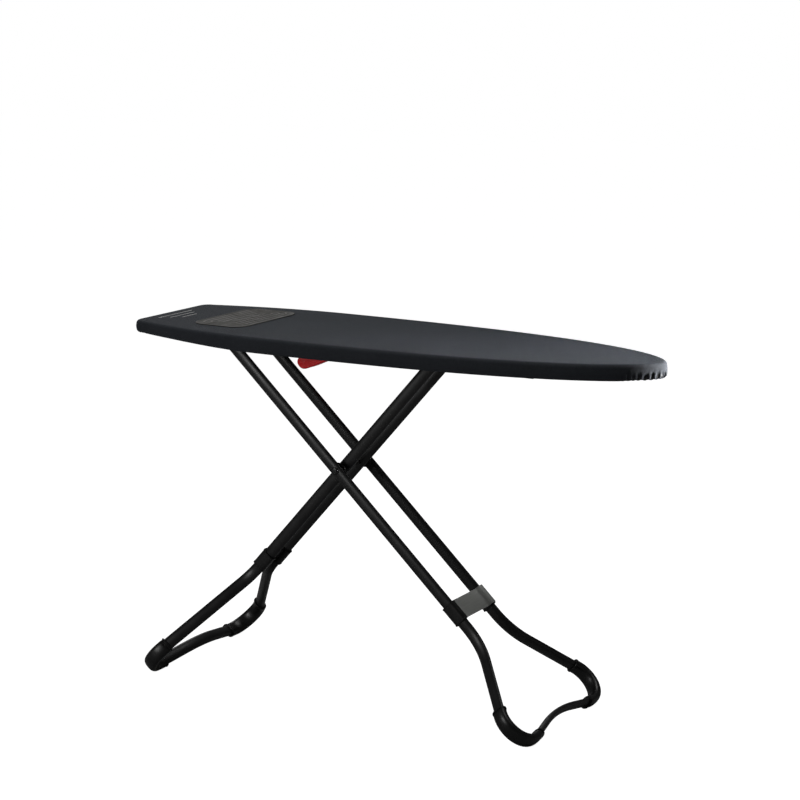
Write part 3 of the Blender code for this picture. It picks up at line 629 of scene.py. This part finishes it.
def cover_levels(outline):
    """Rings of the cover from the top's middle, over the edge and under to the hem."""
    x = outline.points[:, 0]
    gather = gathering(outline)
    wave = folds(outline, FOLD_LENGTH, FOLD_SEED)
    late = 0.30 + 0.22 * wobble(outline.arc, 55.0, 9)
    slack = wobble(outline.arc, 6.0, 3)
    crease = wobble(outline.arc, 24.0, 4)
    low = low_edge(x)
    rings = []

    def add(points, z, travel):
        rings.append((np.column_stack([points, np.broadcast_to(z, x.shape)]), travel))

    round_start = outline.offset(TOP_ROUND)
    spine = spine_of(round_start)
    for share in 1 - np.linspace(0, 1, TOP_RINGS) ** 0.8:
        points = round_start + (spine - round_start) * share
        add(points, COVER_HIGH, -TOP_ROUND * 0.6)
    for step in range(1, 7):
        angle = math.pi / 2 * step / 6
        depth = TOP_ROUND * (1 - math.sin(angle))
        add(outline.offset(depth), COVER_HIGH - TOP_ROUND * (1 - math.cos(angle)), TOP_ROUND * (angle - 0.6))
    side_top = COVER_HIGH - TOP_ROUND
    for step in range(1, 10):
        share = step / 9
        z = side_top + (low + LOW_ROUND - side_top) * share
        rise = smoothstep((share - late) / (1 - late))
        push = 0.0024 * gather * wave * rise + 0.0007 * math.sin(math.pi * share)
        push = push - 0.0022 * gather * rise + (0.0004 * slack + 0.0004 * crease) * share
        add(outline.offset(0) + outline.normals * push[:, None], z, TOP_ROUND + (side_top - z))
    side = COVER_HIGH - low
    for step in range(1, 6):
        angle = math.pi / 2 * step / 5
        push = (0.0023 * (wave - 1) * gather + 0.0004 * slack + 0.0004 * crease) * math.cos(angle)
        depth = LOW_ROUND * (1 - math.cos(angle)) - push
        z = low + LOW_ROUND * (1 - math.sin(angle)) + 0.0013 * gather * (wave + 1) * math.sin(angle)
        add(outline.offset(depth), z, side + LOW_ROUND * angle)
    start = outline.offset(LOW_ROUND)
    end = outline.inset(HEM_REACH)
    for step in range(1, 11):
        share = step / 10
        points = start + (end - start) * share
        ruffle = (HEM_RUFFLE + HEM_RUFFLE_GAIN * share) * np.maximum(gather, HEM_SLACK * share)
        z = low + HEM_RISE * share + ruffle * (wave + 1)
        add(points, z, side + 0.01 + HEM_REACH * share)
    ruffle = (HEM_RUFFLE + HEM_RUFFLE_GAIN) * np.maximum(gather, HEM_SLACK)
    roll = [(0.0012, -0.0012), (0.0030, -0.0016), (0.0048, -0.0010), (0.0056, 0.0006), (0.0048, 0.0020)]
    for depth, rise in roll:
        z = low + HEM_RISE + rise + ruffle * (wave + 1)
        add(outline.inset(HEM_REACH + depth), z, side + 0.01 + HEM_REACH + depth)
    return rings


def make_cover(look):
    """The cover is one cloth with its hem turned under the board."""
    outline = Outline()
    levels = cover_levels(outline)
    bm = bmesh.new()
    uv = bm.loops.layers.uv.new("cloth")
    flat = {}
    rings = []
    for level, (points, travel) in enumerate(levels):
        made = ring(bm, points.tolist())
        rings.append(made)
        spread = outline.offset(-travel) if level >= TOP_RINGS else points[:, :2]
        for vertex, (u, v) in zip(made, spread):
            flat[vertex] = (u, v)
    bridge(bm, rings)
    for face in bm.faces:
        for loop in face.loops:
            loop[uv].uv = flat[loop.vert]
    bmesh.ops.remove_doubles(bm, verts=rings[0], dist=0.00005)
    mesh = finish_mesh("cover", bm, smooth=70)
    item = link_mesh("cloth_cover", mesh, look, "board", ["cover"])
    thick = item.modifiers.new("cloth_thickness", "SOLIDIFY")
    thick.thickness = CLOTH
    thick.offset = -1.0
    return item


def make_stitches(look):
    """Lockstitch along the hem's casing: a short raised stitch every 4 mm."""
    outline = Outline()
    path = outline.inset(HEM_REACH - 0.002)
    wave = folds(outline, FOLD_LENGTH, FOLD_SEED)
    gather = gathering(outline)
    low = low_edge(outline.points[:, 0])
    share = 0.96
    ruffle = (HEM_RUFFLE + HEM_RUFFLE_GAIN * share) * np.maximum(gather, HEM_SLACK)
    z = low + HEM_RISE * share + ruffle * (wave + 1) - CLOTH * 0.2
    line = np.column_stack([path, z])
    line = np.concatenate([line, line[:1]])
    arc = np.concatenate([[0], np.cumsum(np.linalg.norm(np.diff(line, axis=0), axis=1))])
    bm = bmesh.new()
    pitch = 0.004
    stitch = 0.0028
    half_wide = 0.00028
    half_high = 0.00022
    count = int(arc[-1] / pitch)
    for i in range(count):
        begin = arc[-1] * i / count
        a, b = (Vector([np.interp(t, arc, line[:, k]) for k in range(3)]) for t in (begin, begin + stitch))
        along = (b - a).normalized()
        across = along.cross(Vector((0, 0, 1))).normalized()
        rings = []
        for share, size in ((0.0, 0.3), (0.25, 1.0), (0.75, 1.0), (1.0, 0.3)):
            centre = a.lerp(b, share)
            points = []
            for k in range(6):
                angle = math.tau * k / 6
                spread = across * math.cos(angle) * half_wide + Vector((0, 0, math.sin(angle) * half_high))
                points.append(centre + spread * size)
            rings.append(ring(bm, points))
        bridge(bm, rings)
        cap_ends(bm, rings)
    mesh = finish_mesh("stitches", bm)
    return link_mesh("hem_stitches", mesh, look, "board")


def make_pad(look):
    """Felt pad: a soft slab with a gently uneven top and rounded edges."""
    low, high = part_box("foam_pad")
    outline = Outline(2.0)
    bm = bmesh.new()
    rings = []
    thick = high.z - low.z
    profile = [(0.0075, 0.0), (0.0050, 0.08), (0.0042, 0.35), (0.0050, 0.70), (0.0080, 0.93), (0.0120, 1.0)]
    for depth, share in profile:
        points = outline.offset(depth)
        rings.append(ring(bm, [(x, y, low.z + thick * share) for x, y in points]))
    steps = 8
    inner = outline.offset(profile[-1][0])
    for k in range(1, steps + 1):
        points = inner + (spine_of(inner) - inner) * k / steps
        heights = [high.z - 0.0002 * (1 + noise.noise((x * 30, y * 30, 2.0))) for x, y in points]
        rings.append(ring(bm, [(x, y, z) for (x, y), z in zip(points, heights)]))
    bridge(bm, rings)
    under = outline.offset(profile[0][0])
    floor_rings = [rings[0]]
    for k in range(1, steps + 1):
        points = under + (spine_of(under) - under) * k / steps
        floor_rings.append(ring(bm, [(x, y, low.z) for x, y in points]))
    bridge(bm, floor_rings)
    bmesh.ops.remove_doubles(bm, verts=rings[-1], dist=0.0001)
    bmesh.ops.remove_doubles(bm, verts=floor_rings[-1], dist=0.0001)
    mesh = finish_mesh("pad", bm)
    item = link_mesh("felt_pad", mesh, look, "board", ["foam_pad"])
    return item


def make_rim(look):
    """Pressed rim of the board, following the cover's drawn-up lower edge at the square end."""
    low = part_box("rim_frame")[0].z
    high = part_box("rim_frame")[1].z
    tall = high - low
    outline = Outline(2.0)
    lift = low_edge(outline.points[:, 0]) - COVER_LOW
    profile = [(0.0065, 0.0), (0.0040, 0.0010), (0.0027, 0.0030), (0.0025, 0.0060)]
    profile += [(0.0025, tall - 0.0040), (0.0032, tall - 0.0012), (0.0050, tall)]
    profile += [(0.0110, tall), (0.0128, tall - 0.0012), (0.0135, tall - 0.0040)]
    profile += [(0.0135, 0.0060), (0.0130, 0.0025), (0.0110, 0.0)]
    bm = bmesh.new()
    rings = []
    for depth, rise in profile:
        share = 1 - rise / tall
        z = low + rise + lift * share
        rings.append(ring(bm, np.column_stack([outline.offset(depth), z]).tolist()))
    bridge(bm, rings, closed=True)
    mesh = finish_mesh("rim", bm)
    return link_mesh("rim_tube", mesh, look, "board", ["rim_frame"])


def make_mesh_panel(look):
    """Expanded-metal top: sheared and stretched diamonds."""
    low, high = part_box("mesh_panel")
    long_way = 0.024
    short_way = 0.0115
    strand = 0.0021
    border = 0.008
    end_reach = 0.60
    bm = bmesh.new()
    made = {}

    def vertex(x, y):
        key = (round(x, 5), round(y, 5))
        if key not in made:
            made[key] = bm.verts.new((x, y, high.z))
        return made[key]

    shrink_x = 1 - strand * 1.15 / short_way
    shrink_y = 1 - strand / short_way
    columns = int(HALF_LENGTH * 2 / long_way) + 2
    rows = int(HALF_WIDTH * 2 / short_way) + 2
    for i in range(-columns, columns + 1):
        for j in range(-rows, rows + 1):
            if (i + j) % 2:
                continue
            x, y = i * long_way / 2, j * short_way / 2
            reach_x = abs(x) + long_way / 2
            if reach_x >= end_reach:
                continue
            if abs(y) + short_way / 2 > half_width_at(reach_x if x > 0 else -reach_x) - border:
                continue
            corners = [(long_way / 2, 0), (0, short_way / 2), (-long_way / 2, 0), (0, -short_way / 2)]
            outer = [vertex(x + a, y + b) for a, b in corners]
            hole = [vertex(x + a * shrink_x, y + b * shrink_y) for a, b in corners]
            for k in range(4):
                bm.faces.new((outer[k], outer[(k + 1) % 4], hole[(k + 1) % 4], hole[k]))
    mesh = finish_mesh("mesh_panel", bm, smooth=20)
    item = link_mesh("expanded_panel", mesh, look, "board", ["mesh_panel"])
    thick = item.modifiers.new("sheet_thickness", "SOLIDIFY")
    thick.thickness = high.z - low.z
    thick.offset = -1.0
    return item


# ---- parking mat


def rounded_rectangle(centre, half, radius, count=15):
    points = []
    for quarter, (sx, sy) in enumerate(((1, 1), (-1, 1), (-1, -1), (1, -1))):
        for step in range(count):
            angle = math.pi / 2 * (quarter + step / (count - 1))
            x = centre[0] + sx * (half[0] - radius) + radius * math.cos(angle)
            y = centre[1] + sy * (half[1] - radius) + radius * math.sin(angle)
            points.append((x, y))
    return points


def make_mat(look):
    """Heat-proof mat with nested raised ribs and a rolled edge."""
    low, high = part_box("parking_mat")
    centre = ((low.x + high.x) / 2, (low.y + high.y) / 2)
    half = ((high.x - low.x) / 2, (high.y - low.y) / 2)
    roll = 0.0004
    rib = 0.0008
    base = high.z - roll
    profile = [(0.0, low.z), (0.0, base - roll), (0.0006, base + roll), (0.0022, base + roll), (0.0030, base)]
    for inner in MAT_RIBS:
        profile += [(inner, base), (inner + 0.0008, base + rib)]
        profile += [(inner + 0.0042, base + rib), (inner + 0.0050, base)]
    profile.append((0.064, base))
    bm = bmesh.new()
    rings = []
    for depth, z in profile:
        radius = max(MAT_RADIUS - depth * 0.62, 0.003)
        size = (half[0] - depth, half[1] - depth)
        rings.append(ring(bm, [(x, y, z) for x, y in rounded_rectangle(centre, size, radius)]))
    bridge(bm, rings)
    cap_ends(bm, rings)
    mesh = finish_mesh("mat", bm, smooth=30)
    item = link_mesh("ribbed_mat", mesh, look, "board", ["parking_mat"])
    return item


# ---- legs


def leg_corners(spacing, flare_start, foot, end, shift):
    """Corner points of a leg frame in its own plane, from the near top end to the far one."""
    spread = spacing + (foot - flare_start) * math.tan(FLARE_ANGLE)
    half = [(end, spacing), (flare_start, spacing), (foot, spread)]
    near = [Vector((s + shift, -y)) for s, y in half]
    far = [Vector((s + shift, y)) for s, y in reversed(half)]
    apex = Vector((foot - ARCH_SLOPE * spread + shift, 0.0))
    return near + [apex] + far


def make_tube_frame(leg, corners, flare_radius, place, look):
    """One bent oval tube of even section, drawn with fine bends."""
    radii = [flare_radius, FOOT_RADIUS, ARCH_RADIUS, FOOT_RADIUS, flare_radius]
    path = dense(rounded_path(corners, radii, [12, 16, 12, 16, 12]), 0.06)
    size = (TUBE_DEEP, TUBE_FLAT)
    bore = (TUBE_DEEP - TUBE_WALL, TUBE_FLAT - TUBE_WALL)
    mesh = hollow_sweep(path, [size] * len(path), bore, place)
    return link_mesh(leg + "_tube", mesh, look, leg + "_legs", [leg + "_frame"])


def cap_profile(path):
    """Wall thickness along a foot cap: raised lips at both ends and a fuller corner."""
    lengths = running_length(path)
    total = lengths[-1]
    sizes = []
    for at in lengths:
        end = min(at, total - at)
        lip = 0.0011 if 0.0008 < end < 0.0042 else (0.0006 if end <= 0.0008 else 0.0)
        groove = -0.0005 if 0.0046 < end < 0.0068 else 0.0
        fuller = 0.0007 * math.sin(math.pi * at / total) ** 2
        wall = CAP_WALL + TUBE_GAP + lip + groove + fuller
        sizes.append((TUBE_DEEP + wall, TUBE_FLAT + wall))
    return sizes


def cap_stations(path):
    """Resample a cap's path so that its lips and grooves have crisp rings."""
    lengths = running_length(path)
    total = lengths[-1]
    ends = [0.0, 0.0008, 0.0012, 0.0036, 0.0042, 0.0047, 0.0066, 0.0072]
    marks = ends + list(np.linspace(ends[-1], total - ends[-1], 26)) + [total - end for end in ends]
    stations = sorted({round(mark, 6) for mark in marks})
    return [Vector(point) for point in points_at(path, lengths, stations)]


def make_foot_cap(leg, word, corners, place, look):
    index = 2 if word == "near" else 4
    corner = corners[index]
    others = (corners[index - 1], corners[index + 1])
    turn = math.pi - (others[0] - corner).angle(others[1] - corner)
    reach = FOOT_RADIUS * math.tan(turn / 2)
    lengths = (CAP_ON_LEG, CAP_ON_BAR) if index < 3 else (CAP_ON_BAR, CAP_ON_LEG)
    ends = []
    for other, length in zip(others, lengths):
        ends.append(corner + (other - corner).normalized() * (reach + length))
    path = cap_stations(rounded_path([ends[0], corner, ends[1]], [FOOT_RADIUS], [40]))
    mesh = hollow_sweep(path, cap_profile(path), LOOSE_BORE, place, power=2.5, floor=True)
    node = leg + "_foot_cap_" + word
    return link_mesh(leg + "_foot_" + word, mesh, look, leg + "_legs", [node])


def make_sleeve(name, low, high, y, place, look, body, node):
    """Moulded clamp sleeve: squarer than the tube, with a chamfer and a bead at both ends."""
    path = []
    sizes = []
    for at, extra in ((0.0, -0.0006), (0.0008, 0.0006), (0.0030, 0.0006), (0.0036, 0.0), (0.0060, 0.0)):
        path.append(Vector((low + at, y)))
        sizes.append((TUBE_DEEP + SLEEVE_WALL + extra, TUBE_FLAT + SLEEVE_WALL + extra))
    path += [Vector((low + high - p.x, y)) for p in reversed(path)]
    sizes += list(reversed(sizes))
    mesh = hollow_sweep(path, sizes, LOOSE_BORE, place, power=3.6)
    return link_mesh(name, mesh, look, body, [node])


def make_brace_plate(place, look):
    """Pressed plate between the outer tubes: a rib by the near sleeve, a curl over the far one."""
    low, high = (at + OUTER_ARM for at in PLATE_SPAN)
    deck = 0.0085
    curl = 0.0078
    line = [(-0.0522, deck - 0.0012), (-0.0500, deck + 0.0002), (-0.0490, deck + 0.0008)]
    line += [(-0.0470, deck + 0.0008), (-0.0462, deck + 0.0002), (-0.0455, deck), (0.0430, deck)]
    centre = (0.0440, deck + curl)
    for step in range(1, 9):
        angle = -math.pi / 2 + math.radians(78) * step / 8
        line.append((centre[0] + curl * math.cos(angle), centre[1] + curl * math.sin(angle)))
    line += [(0.0524, 0.0168), (0.0536, 0.0181), (0.0556, 0.0185)]
    line += [(0.0640, 0.0185), (0.0662, 0.0180), (0.0668, 0.0172)]
    bm = bmesh.new()
    half = 0.0006
    upper = []
    lower = []
    for i, point in enumerate(line):
        before = Vector(line[max(i - 1, 0)])
        after = Vector(line[min(i + 1, len(line) - 1)])
        across = (after - before).normalized()
        across = Vector((-across.y, across.x)) * half
        upper.append((point[0] + across.x, point[1] + across.y))
        lower.append((point[0] - across.x, point[1] - across.y))
    loop = upper + lower[::-1]
    rings = []
    for at, shrink in ((low, 0.4), (low + 0.0005, 1.0), (high - 0.0005, 1.0), (high, 0.4)):
        points = []
        for k, (y, z) in enumerate(loop):
            my, mz = line[k] if k < len(line) else line[2 * len(line) - 1 - k]
            points.append((at, my + (y - my) * shrink, mz + (z - mz) * shrink))
        rings.append(ring(bm, points))
    bridge(bm, rings)
    count = len(line)
    for end in (rings[0], rings[-1]):
        for i in range(count - 1):
            bm.faces.new((end[i], end[i + 1], end[-2 - i], end[-1 - i]))
    mesh = finish_mesh("brace_plate", bm, place, smooth=40)
    return link_mesh("pressed_brace", mesh, look, "outer_legs", ["brace_plate"])


def rod_profile(half, radius, head_radius, head):
    """A plain rod with a domed head at both ends."""
    dome = [(0.0, 1.0), (0.35, 0.98), (0.65, 0.88), (0.88, 0.66), (1.0, 0.36)]
    end = [(half, radius), (half, head_radius - 0.0003), (half + 0.0003, head_radius)]
    end += [(half + 0.0003 + (head - 0.0003) * a, head_radius * r) for a, r in dome[1:]]
    return [(-y, r) for y, r in reversed(end)] + end


def bolt_profile(inner_face, outer_face):
    """Nut, shank and domed head of a cross bolt, from the inner tube outwards."""
    nut = [(inner_face - 0.0035, 0.0050), (inner_face - 0.0029, 0.0063), (inner_face - 0.0004, 0.0065)]
    shank = [(inner_face, 0.0062), (inner_face, 0.0040), (outer_face, 0.0040)]
    head = [(outer_face, 0.0082), (outer_face + 0.0004, 0.0085), (outer_face + 0.0014, 0.0084)]
    head += [(outer_face + 0.0024, 0.0074), (outer_face + 0.0031, 0.0052), (outer_face + 0.0032, 0.0022)]
    return nut + shank + head


def spacer_outline(low, high):
    """Collar of a cross bolt with a wide flange at its outer end."""
    collar = [(low, 0.0096), (low + 0.0004, 0.0100), (high - 0.0022, 0.0100), (high - 0.0016, 0.0106)]
    flange = [(high - 0.0016, 0.0157), (high - 0.0012, 0.0160), (high - 0.0003, 0.0160), (high, 0.0157)]
    return collar + flange


def make_outer_legs(looks):
    place = OUTER_FRAME
    body = "outer_legs"
    steel, plastic, zinc = looks["steel"], looks["plastic"], looks["zinc"]
    end = -OUTER_ARM - TUBE_END
    corners = leg_corners(OUTER_SPACING, OUTER_FLARE_START, OUTER_FOOT, end, OUTER_ARM)
    make_tube_frame("outer", corners, OUTER_FLARE_RADIUS, place, steel)
    half = OUTER_SPACING + TUBE_FLAT + 0.0039
    mesh = turned(rod_profile(half, 0.005, 0.0085, 0.003), (0.0, 0.0), place)
    link_mesh("hinge_rod", mesh, zinc, body, ["rear_hinge_rod"])
    pivot = (OUTER_ARM, 0.0)
    sleeve = [at + OUTER_ARM for at in OUTER_SLEEVE]
    inner_face = INNER_SPACING - TUBE_FLAT - WASHER_GAP
    outer_face = OUTER_SPACING + TUBE_FLAT + WASHER_GAP
    bolt = bolt_profile(inner_face, outer_face)
    low = INNER_SPACING + TUBE_FLAT + WASHER_GAP
    high = OUTER_SPACING - TUBE_FLAT - WASHER_GAP
    spacer = spacer_outline(low, high)
    for side, word in ((-1, "near"), (1, "far")):
        y = side * OUTER_SPACING
        make_foot_cap("outer", word, corners, place, plastic)
        make_sleeve("brace_clamp_" + word, *sleeve, y, place, plastic, body, "brace_sleeve_" + word)
        mesh = turned(on_side(bolt, side), pivot, place)
        link_mesh("pivot_bolt_" + word, mesh, steel, body, ["cross_bolt_" + word])
        mesh = turned_sleeve(on_side(spacer, side), BOLT_BORE, pivot, place)
        link_mesh("pivot_spacer_" + word, mesh, plastic, body, ["cross_spacer_" + word])
        refine("outer_plug_" + word, plastic, 0.0006)
    make_brace_plate(place, looks["plate"])


def make_inner_legs(looks):
    place = INNER_FRAME
    body = "inner_legs"
    steel, plastic, zinc = looks["steel"], looks["plastic"], looks["zinc"]
    end = -INNER_ARM - TUBE_END
    corners = leg_corners(INNER_SPACING, INNER_FLARE_START, INNER_FOOT, end, 0.0)
    make_tube_frame("inner", corners, INNER_FLARE_RADIUS, place, steel)
    pivot = (-INNER_ARM, 0.0)
    mesh = turned(rod_profile(0.0478, 0.0040, 0.0055, 0.0018), pivot, place)
    link_mesh("sliding_bar", mesh, zinc, body, ["slide_bar"])
    low = INNER_SPACING + TUBE_FLAT + WASHER_GAP
    high = RAIL_FACE - WASHER_GAP
    collar = [(low, 0.0066), (low + 0.0004, 0.0070), (high - 0.0004, 0.0070), (high, 0.0066)]
    for side, word in ((-1, "near"), (1, "far")):
        y = side * INNER_SPACING
        make_foot_cap("inner", word, corners, place, plastic)
        make_sleeve("inner_clamp_" + word, *INNER_SLEEVE, y, place, plastic, body, "inner_sleeve_" + word)
        mesh = turned_sleeve(on_side(collar, side), BOLT_BORE, pivot, place)
        link_mesh("bar_collar_" + word, mesh, plastic, body, ["bar_spacer_" + word])
        refine("inner_plug_" + word, plastic, 0.0006)
    refine("inner_brace_web", plastic, 0.0012, 3)


# ---- release


def smooth_loop(points, count):
    """Closed Catmull-Rom loop through points, resampled evenly."""
    points = [Vector(p) for p in points]
    fine = []
    total = len(points)
    for i in range(total):
        a, b, c, d = (points[(i + k) % total] for k in (-1, 0, 1, 2))
        for step in range(10):
            t = step / 10
            square = (2 * a - 5 * b + 4 * c - d) * t**2
            cube = (3 * b - a - 3 * c + d) * t**3
            fine.append(0.5 * ((2 * b) + (c - a) * t + square + cube))
    fine.append(fine[0])
    arc = running_length(fine)
    return points_at(fine, arc, np.linspace(0, arc[-1], count + 1)[:-1])


def make_lever(looks):
    """Moulded paddle lever with rounded edges and finger ribs under the grip."""
    joint = JOINTS["lever_squeeze"]["pos_m"]
    outline = [
        (0.0320, 0.0070), (0.0350, 0.0030), (0.0330, -0.0012), (0.0110, -0.0082),
        (-0.0450, -0.0163), (-0.0880, -0.0273), (-0.1280, -0.0438), (-0.1460, -0.0488),
        (-0.1575, -0.0440), (-0.1625, -0.0335), (-0.1560, -0.0235), (-0.1330, -0.0188),
        (-0.1100, -0.0155), (-0.0500, -0.0040), (-0.0100, 0.0080), (0.0080, 0.0103),
    ]
    loop = smooth_loop(outline, 120)
    ahead = np.roll(loop, -1, axis=0) - np.roll(loop, 1, axis=0)
    normal = np.column_stack([ahead[:, 1], -ahead[:, 0]])
    normal /= np.linalg.norm(normal, axis=1)[:, None]
    if np.sum(normal * (loop - loop.mean(axis=0))) < 0:
        normal = -normal
    under = (normal[:, 1] < -0.5) & (loop[:, 0] < -0.085) & (loop[:, 0] > -0.150)
    ribs = np.where(under, -0.0006 + 0.0006 * np.cos(loop[:, 0] * math.tau / 0.0085), 0.0)
    half = 0.018
    edge = 0.0034
    bm = bmesh.new()
    rings = []
    stations = []
    for step in range(7):
        angle = math.pi / 2 * step / 6
        stations.append((-half + edge * (1 - math.sin(angle)), edge * (1 - math.cos(angle))))
    stations = stations[::-1]
    stations += [(-half * 0.6, 0.0), (0.0, 0.0)]
    stations += [(-y, d) for y, d in reversed(stations[:-1])]
    for y, depth in stations:
        ribbing = ribs * smoothstep((half - 0.003 - abs(y)) / 0.004)
        points = loop + normal * (ribbing - depth)[:, None]
        rings.append(ring(bm, [(joint[0] + x, y, joint[2] + z) for x, z in points]))
    bridge(bm, rings)
    cap_ends(bm, rings)
    mesh = finish_mesh("lever", bm, smooth=50)
    return link_mesh("grip_lever", mesh, looks["red"], "release_lever", ["release_lever"])


def make_spring(look):
    """Torsion spring wound round the lever pin."""
    joint = JOINTS["lever_squeeze"]["pos_m"]
    radius = 0.0045
    first = -0.0219
    turns = 2.5
    width = 0.003
    wire = 0.0005
    steps = 72
    points = [Vector((joint[0] + 0.014, first, joint[2] + radius))]
    for i in range(steps + 1):
        angle = math.pi / 2 + math.tau * turns * i / steps
        x = joint[0] + radius * math.cos(angle)
        z = joint[2] + radius * math.sin(angle)
        points.append(Vector((x, first - width * i / steps, z)))
    points.append(Vector((joint[0] + 0.013, points[-1].y, joint[2] - radius)))
    bm = bmesh.new()
    rings = []
    for i, point in enumerate(points):
        along = (points[min(i + 1, len(points) - 1)] - points[max(i - 1, 0)]).normalized()
        side = along.cross(Vector((0, 1, 0))).normalized()
        up = side.cross(along)
        angles = [k * math.tau / 10 for k in range(10)]
        around = [point + (side * math.cos(angle) + up * math.sin(angle)) * wire for angle in angles]
        rings.append(ring(bm, around))
    bridge(bm, rings)
    cap_ends(bm, rings)
    mesh = finish_mesh("spring", bm)
    return link_mesh("return_spring", mesh, look, "board", ["lever_spring"])


def make_fittings(looks):
    for word in ("near", "far"):
        refine("rear_bracket_" + word, looks["steel"])
        refine("slide_rail_" + word, looks["steel"], 0.0004)
    for node in ("rack_bracket", "lever_bracket", "catch_rack"):
        refine(node, looks["steel"], 0.0004)
    for node in ("rack_pin", "lever_pin"):
        refine(node, looks["zinc"], 0.0003)
    make_lever(looks)
    make_spring(looks["zinc"])


# ---- stage


def make_camera():
    data = bpy.data.cameras.new("camera")
    data.lens = 94.0
    data.sensor_width = 36.0
    data.shift_x = -0.0035
    data.shift_y = 0.0074
    data.clip_end = 60.0
    camera = bpy.data.objects.new("camera", data)
    camera.location = (2.2802, -3.7940, 1.5724)
    camera.rotation_euler = (math.radians(90 - 11.75), 0.0, math.radians(30.94))
    bpy.context.scene.collection.objects.link(camera)
    bpy.context.scene.camera = camera


def make_light(name, place, aim, size, power, spread=180):
    data = bpy.data.lights.new(name, "AREA")
    data.shape = "RECTANGLE"
    data.size, data.size_y = size
    data.energy = power
    data.spread = math.radians(spread)
    lamp = bpy.data.objects.new(name, data)
    lamp.location = place
    lamp.rotation_euler = (Vector(aim) - Vector(place)).to_track_quat("-Z", "Y").to_euler()
    lamp.visible_camera = False
    bpy.context.scene.collection.objects.link(lamp)


def show_to_camera(tree, plain, shown, output):
    """Show one shader to the camera while another lights the object."""
    seen = tree.nodes.new("ShaderNodeLightPath").outputs["Is Camera Ray"]
    blend = tree.nodes.new("ShaderNodeMixShader")
    for socket, wire in zip(blend.inputs, (seen, plain, shown)):
        tree.links.new(wire, socket)
    tree.links.new(blend.outputs[0], output)


def make_floor():
    mesh = bpy.data.meshes.new("floor")
    size = 14.0
    corners = [(-size, -size, 0), (size, -size, 0), (size, size, 0), (-size, size, 0)]
    mesh.from_pydata(corners, [], [(0, 1, 2, 3)])
    floor = bpy.data.objects.new("floor", mesh)
    floor.location.z = -0.0004
    bpy.context.scene.collection.objects.link(floor)
    look = Shader("pale_floor", (0.32, 0.32, 0.32), 0.9, Specular_IOR_Level=0.0)
    mesh.materials.append(look.material)
    plain = look.bsdf.outputs[0]
    glow = look.node("Emission", {"Strength": FLOOR_GLOW})
    bright = look.node("AddShader")
    look.tree.links.new(plain, bright.inputs[0])
    look.tree.links.new(glow.outputs[0], bright.inputs[1])
    surface = look.tree.nodes["Material Output"].inputs["Surface"]
    show_to_camera(look.tree, plain, bright.outputs[0], surface)


def make_world():
    world = bpy.data.worlds.new("studio")
    world.use_nodes = True
    tree = world.node_tree
    soft = tree.nodes["Background"]
    bright = tree.nodes.new("ShaderNodeBackground")
    for shader, strength in ((soft, WORLD_LIGHT), (bright, WORLD_GLOW)):
        shader.inputs["Color"].default_value = (1.0, 1.0, 1.0, 1.0)
        shader.inputs["Strength"].default_value = strength
    output = tree.nodes["World Output"].inputs["Surface"]
    show_to_camera(tree, soft.outputs[0], bright.outputs[0], output)
    bpy.context.scene.world = world


def make_stage():
    make_floor()
    make_world()
    bpy.context.scene.view_settings.view_transform = "Standard"
    make_light("overhead", (0.5, 0.4, 3.0), (0.2, 0.0, 0.6), (2.4, 1.8), 40.0)
    make_light("nose_side", (1.7, 0.9, 0.86), (0.66, 0.0, 0.82), (0.3, 0.3), 9.0, 34)
    make_light("back_left", (-2.4, 2.0, 2.0), (0.0, 0.0, 0.5), (1.2, 1.6), 14.0)
    make_light("front_fill", (-1.4, -3.0, 1.3), (-0.2, 0.0, 0.7), (1.2, 1.0), 30.0)


def main():
    make_camera()
    make_stage()
    looks = {
        "cover": cover_cloth(),
        "felt": needle_felt(),
        "mat": parking_silicone(),
        "steel": powder_coat(),
        "plastic": moulded_plastic(),
        "zinc": zinc_plate(),
        "plate": brushed_plate(),
        "red": red_gloss(),
        "thread": thread(),
    }
    make_cover(looks["cover"])
    make_stitches(looks["thread"])
    make_pad(looks["felt"])
    make_rim(looks["steel"])
    make_mesh_panel(looks["steel"])
    make_mat(looks["mat"])
    make_fittings(looks)
    make_outer_legs(looks)
    make_inner_legs(looks)


main()
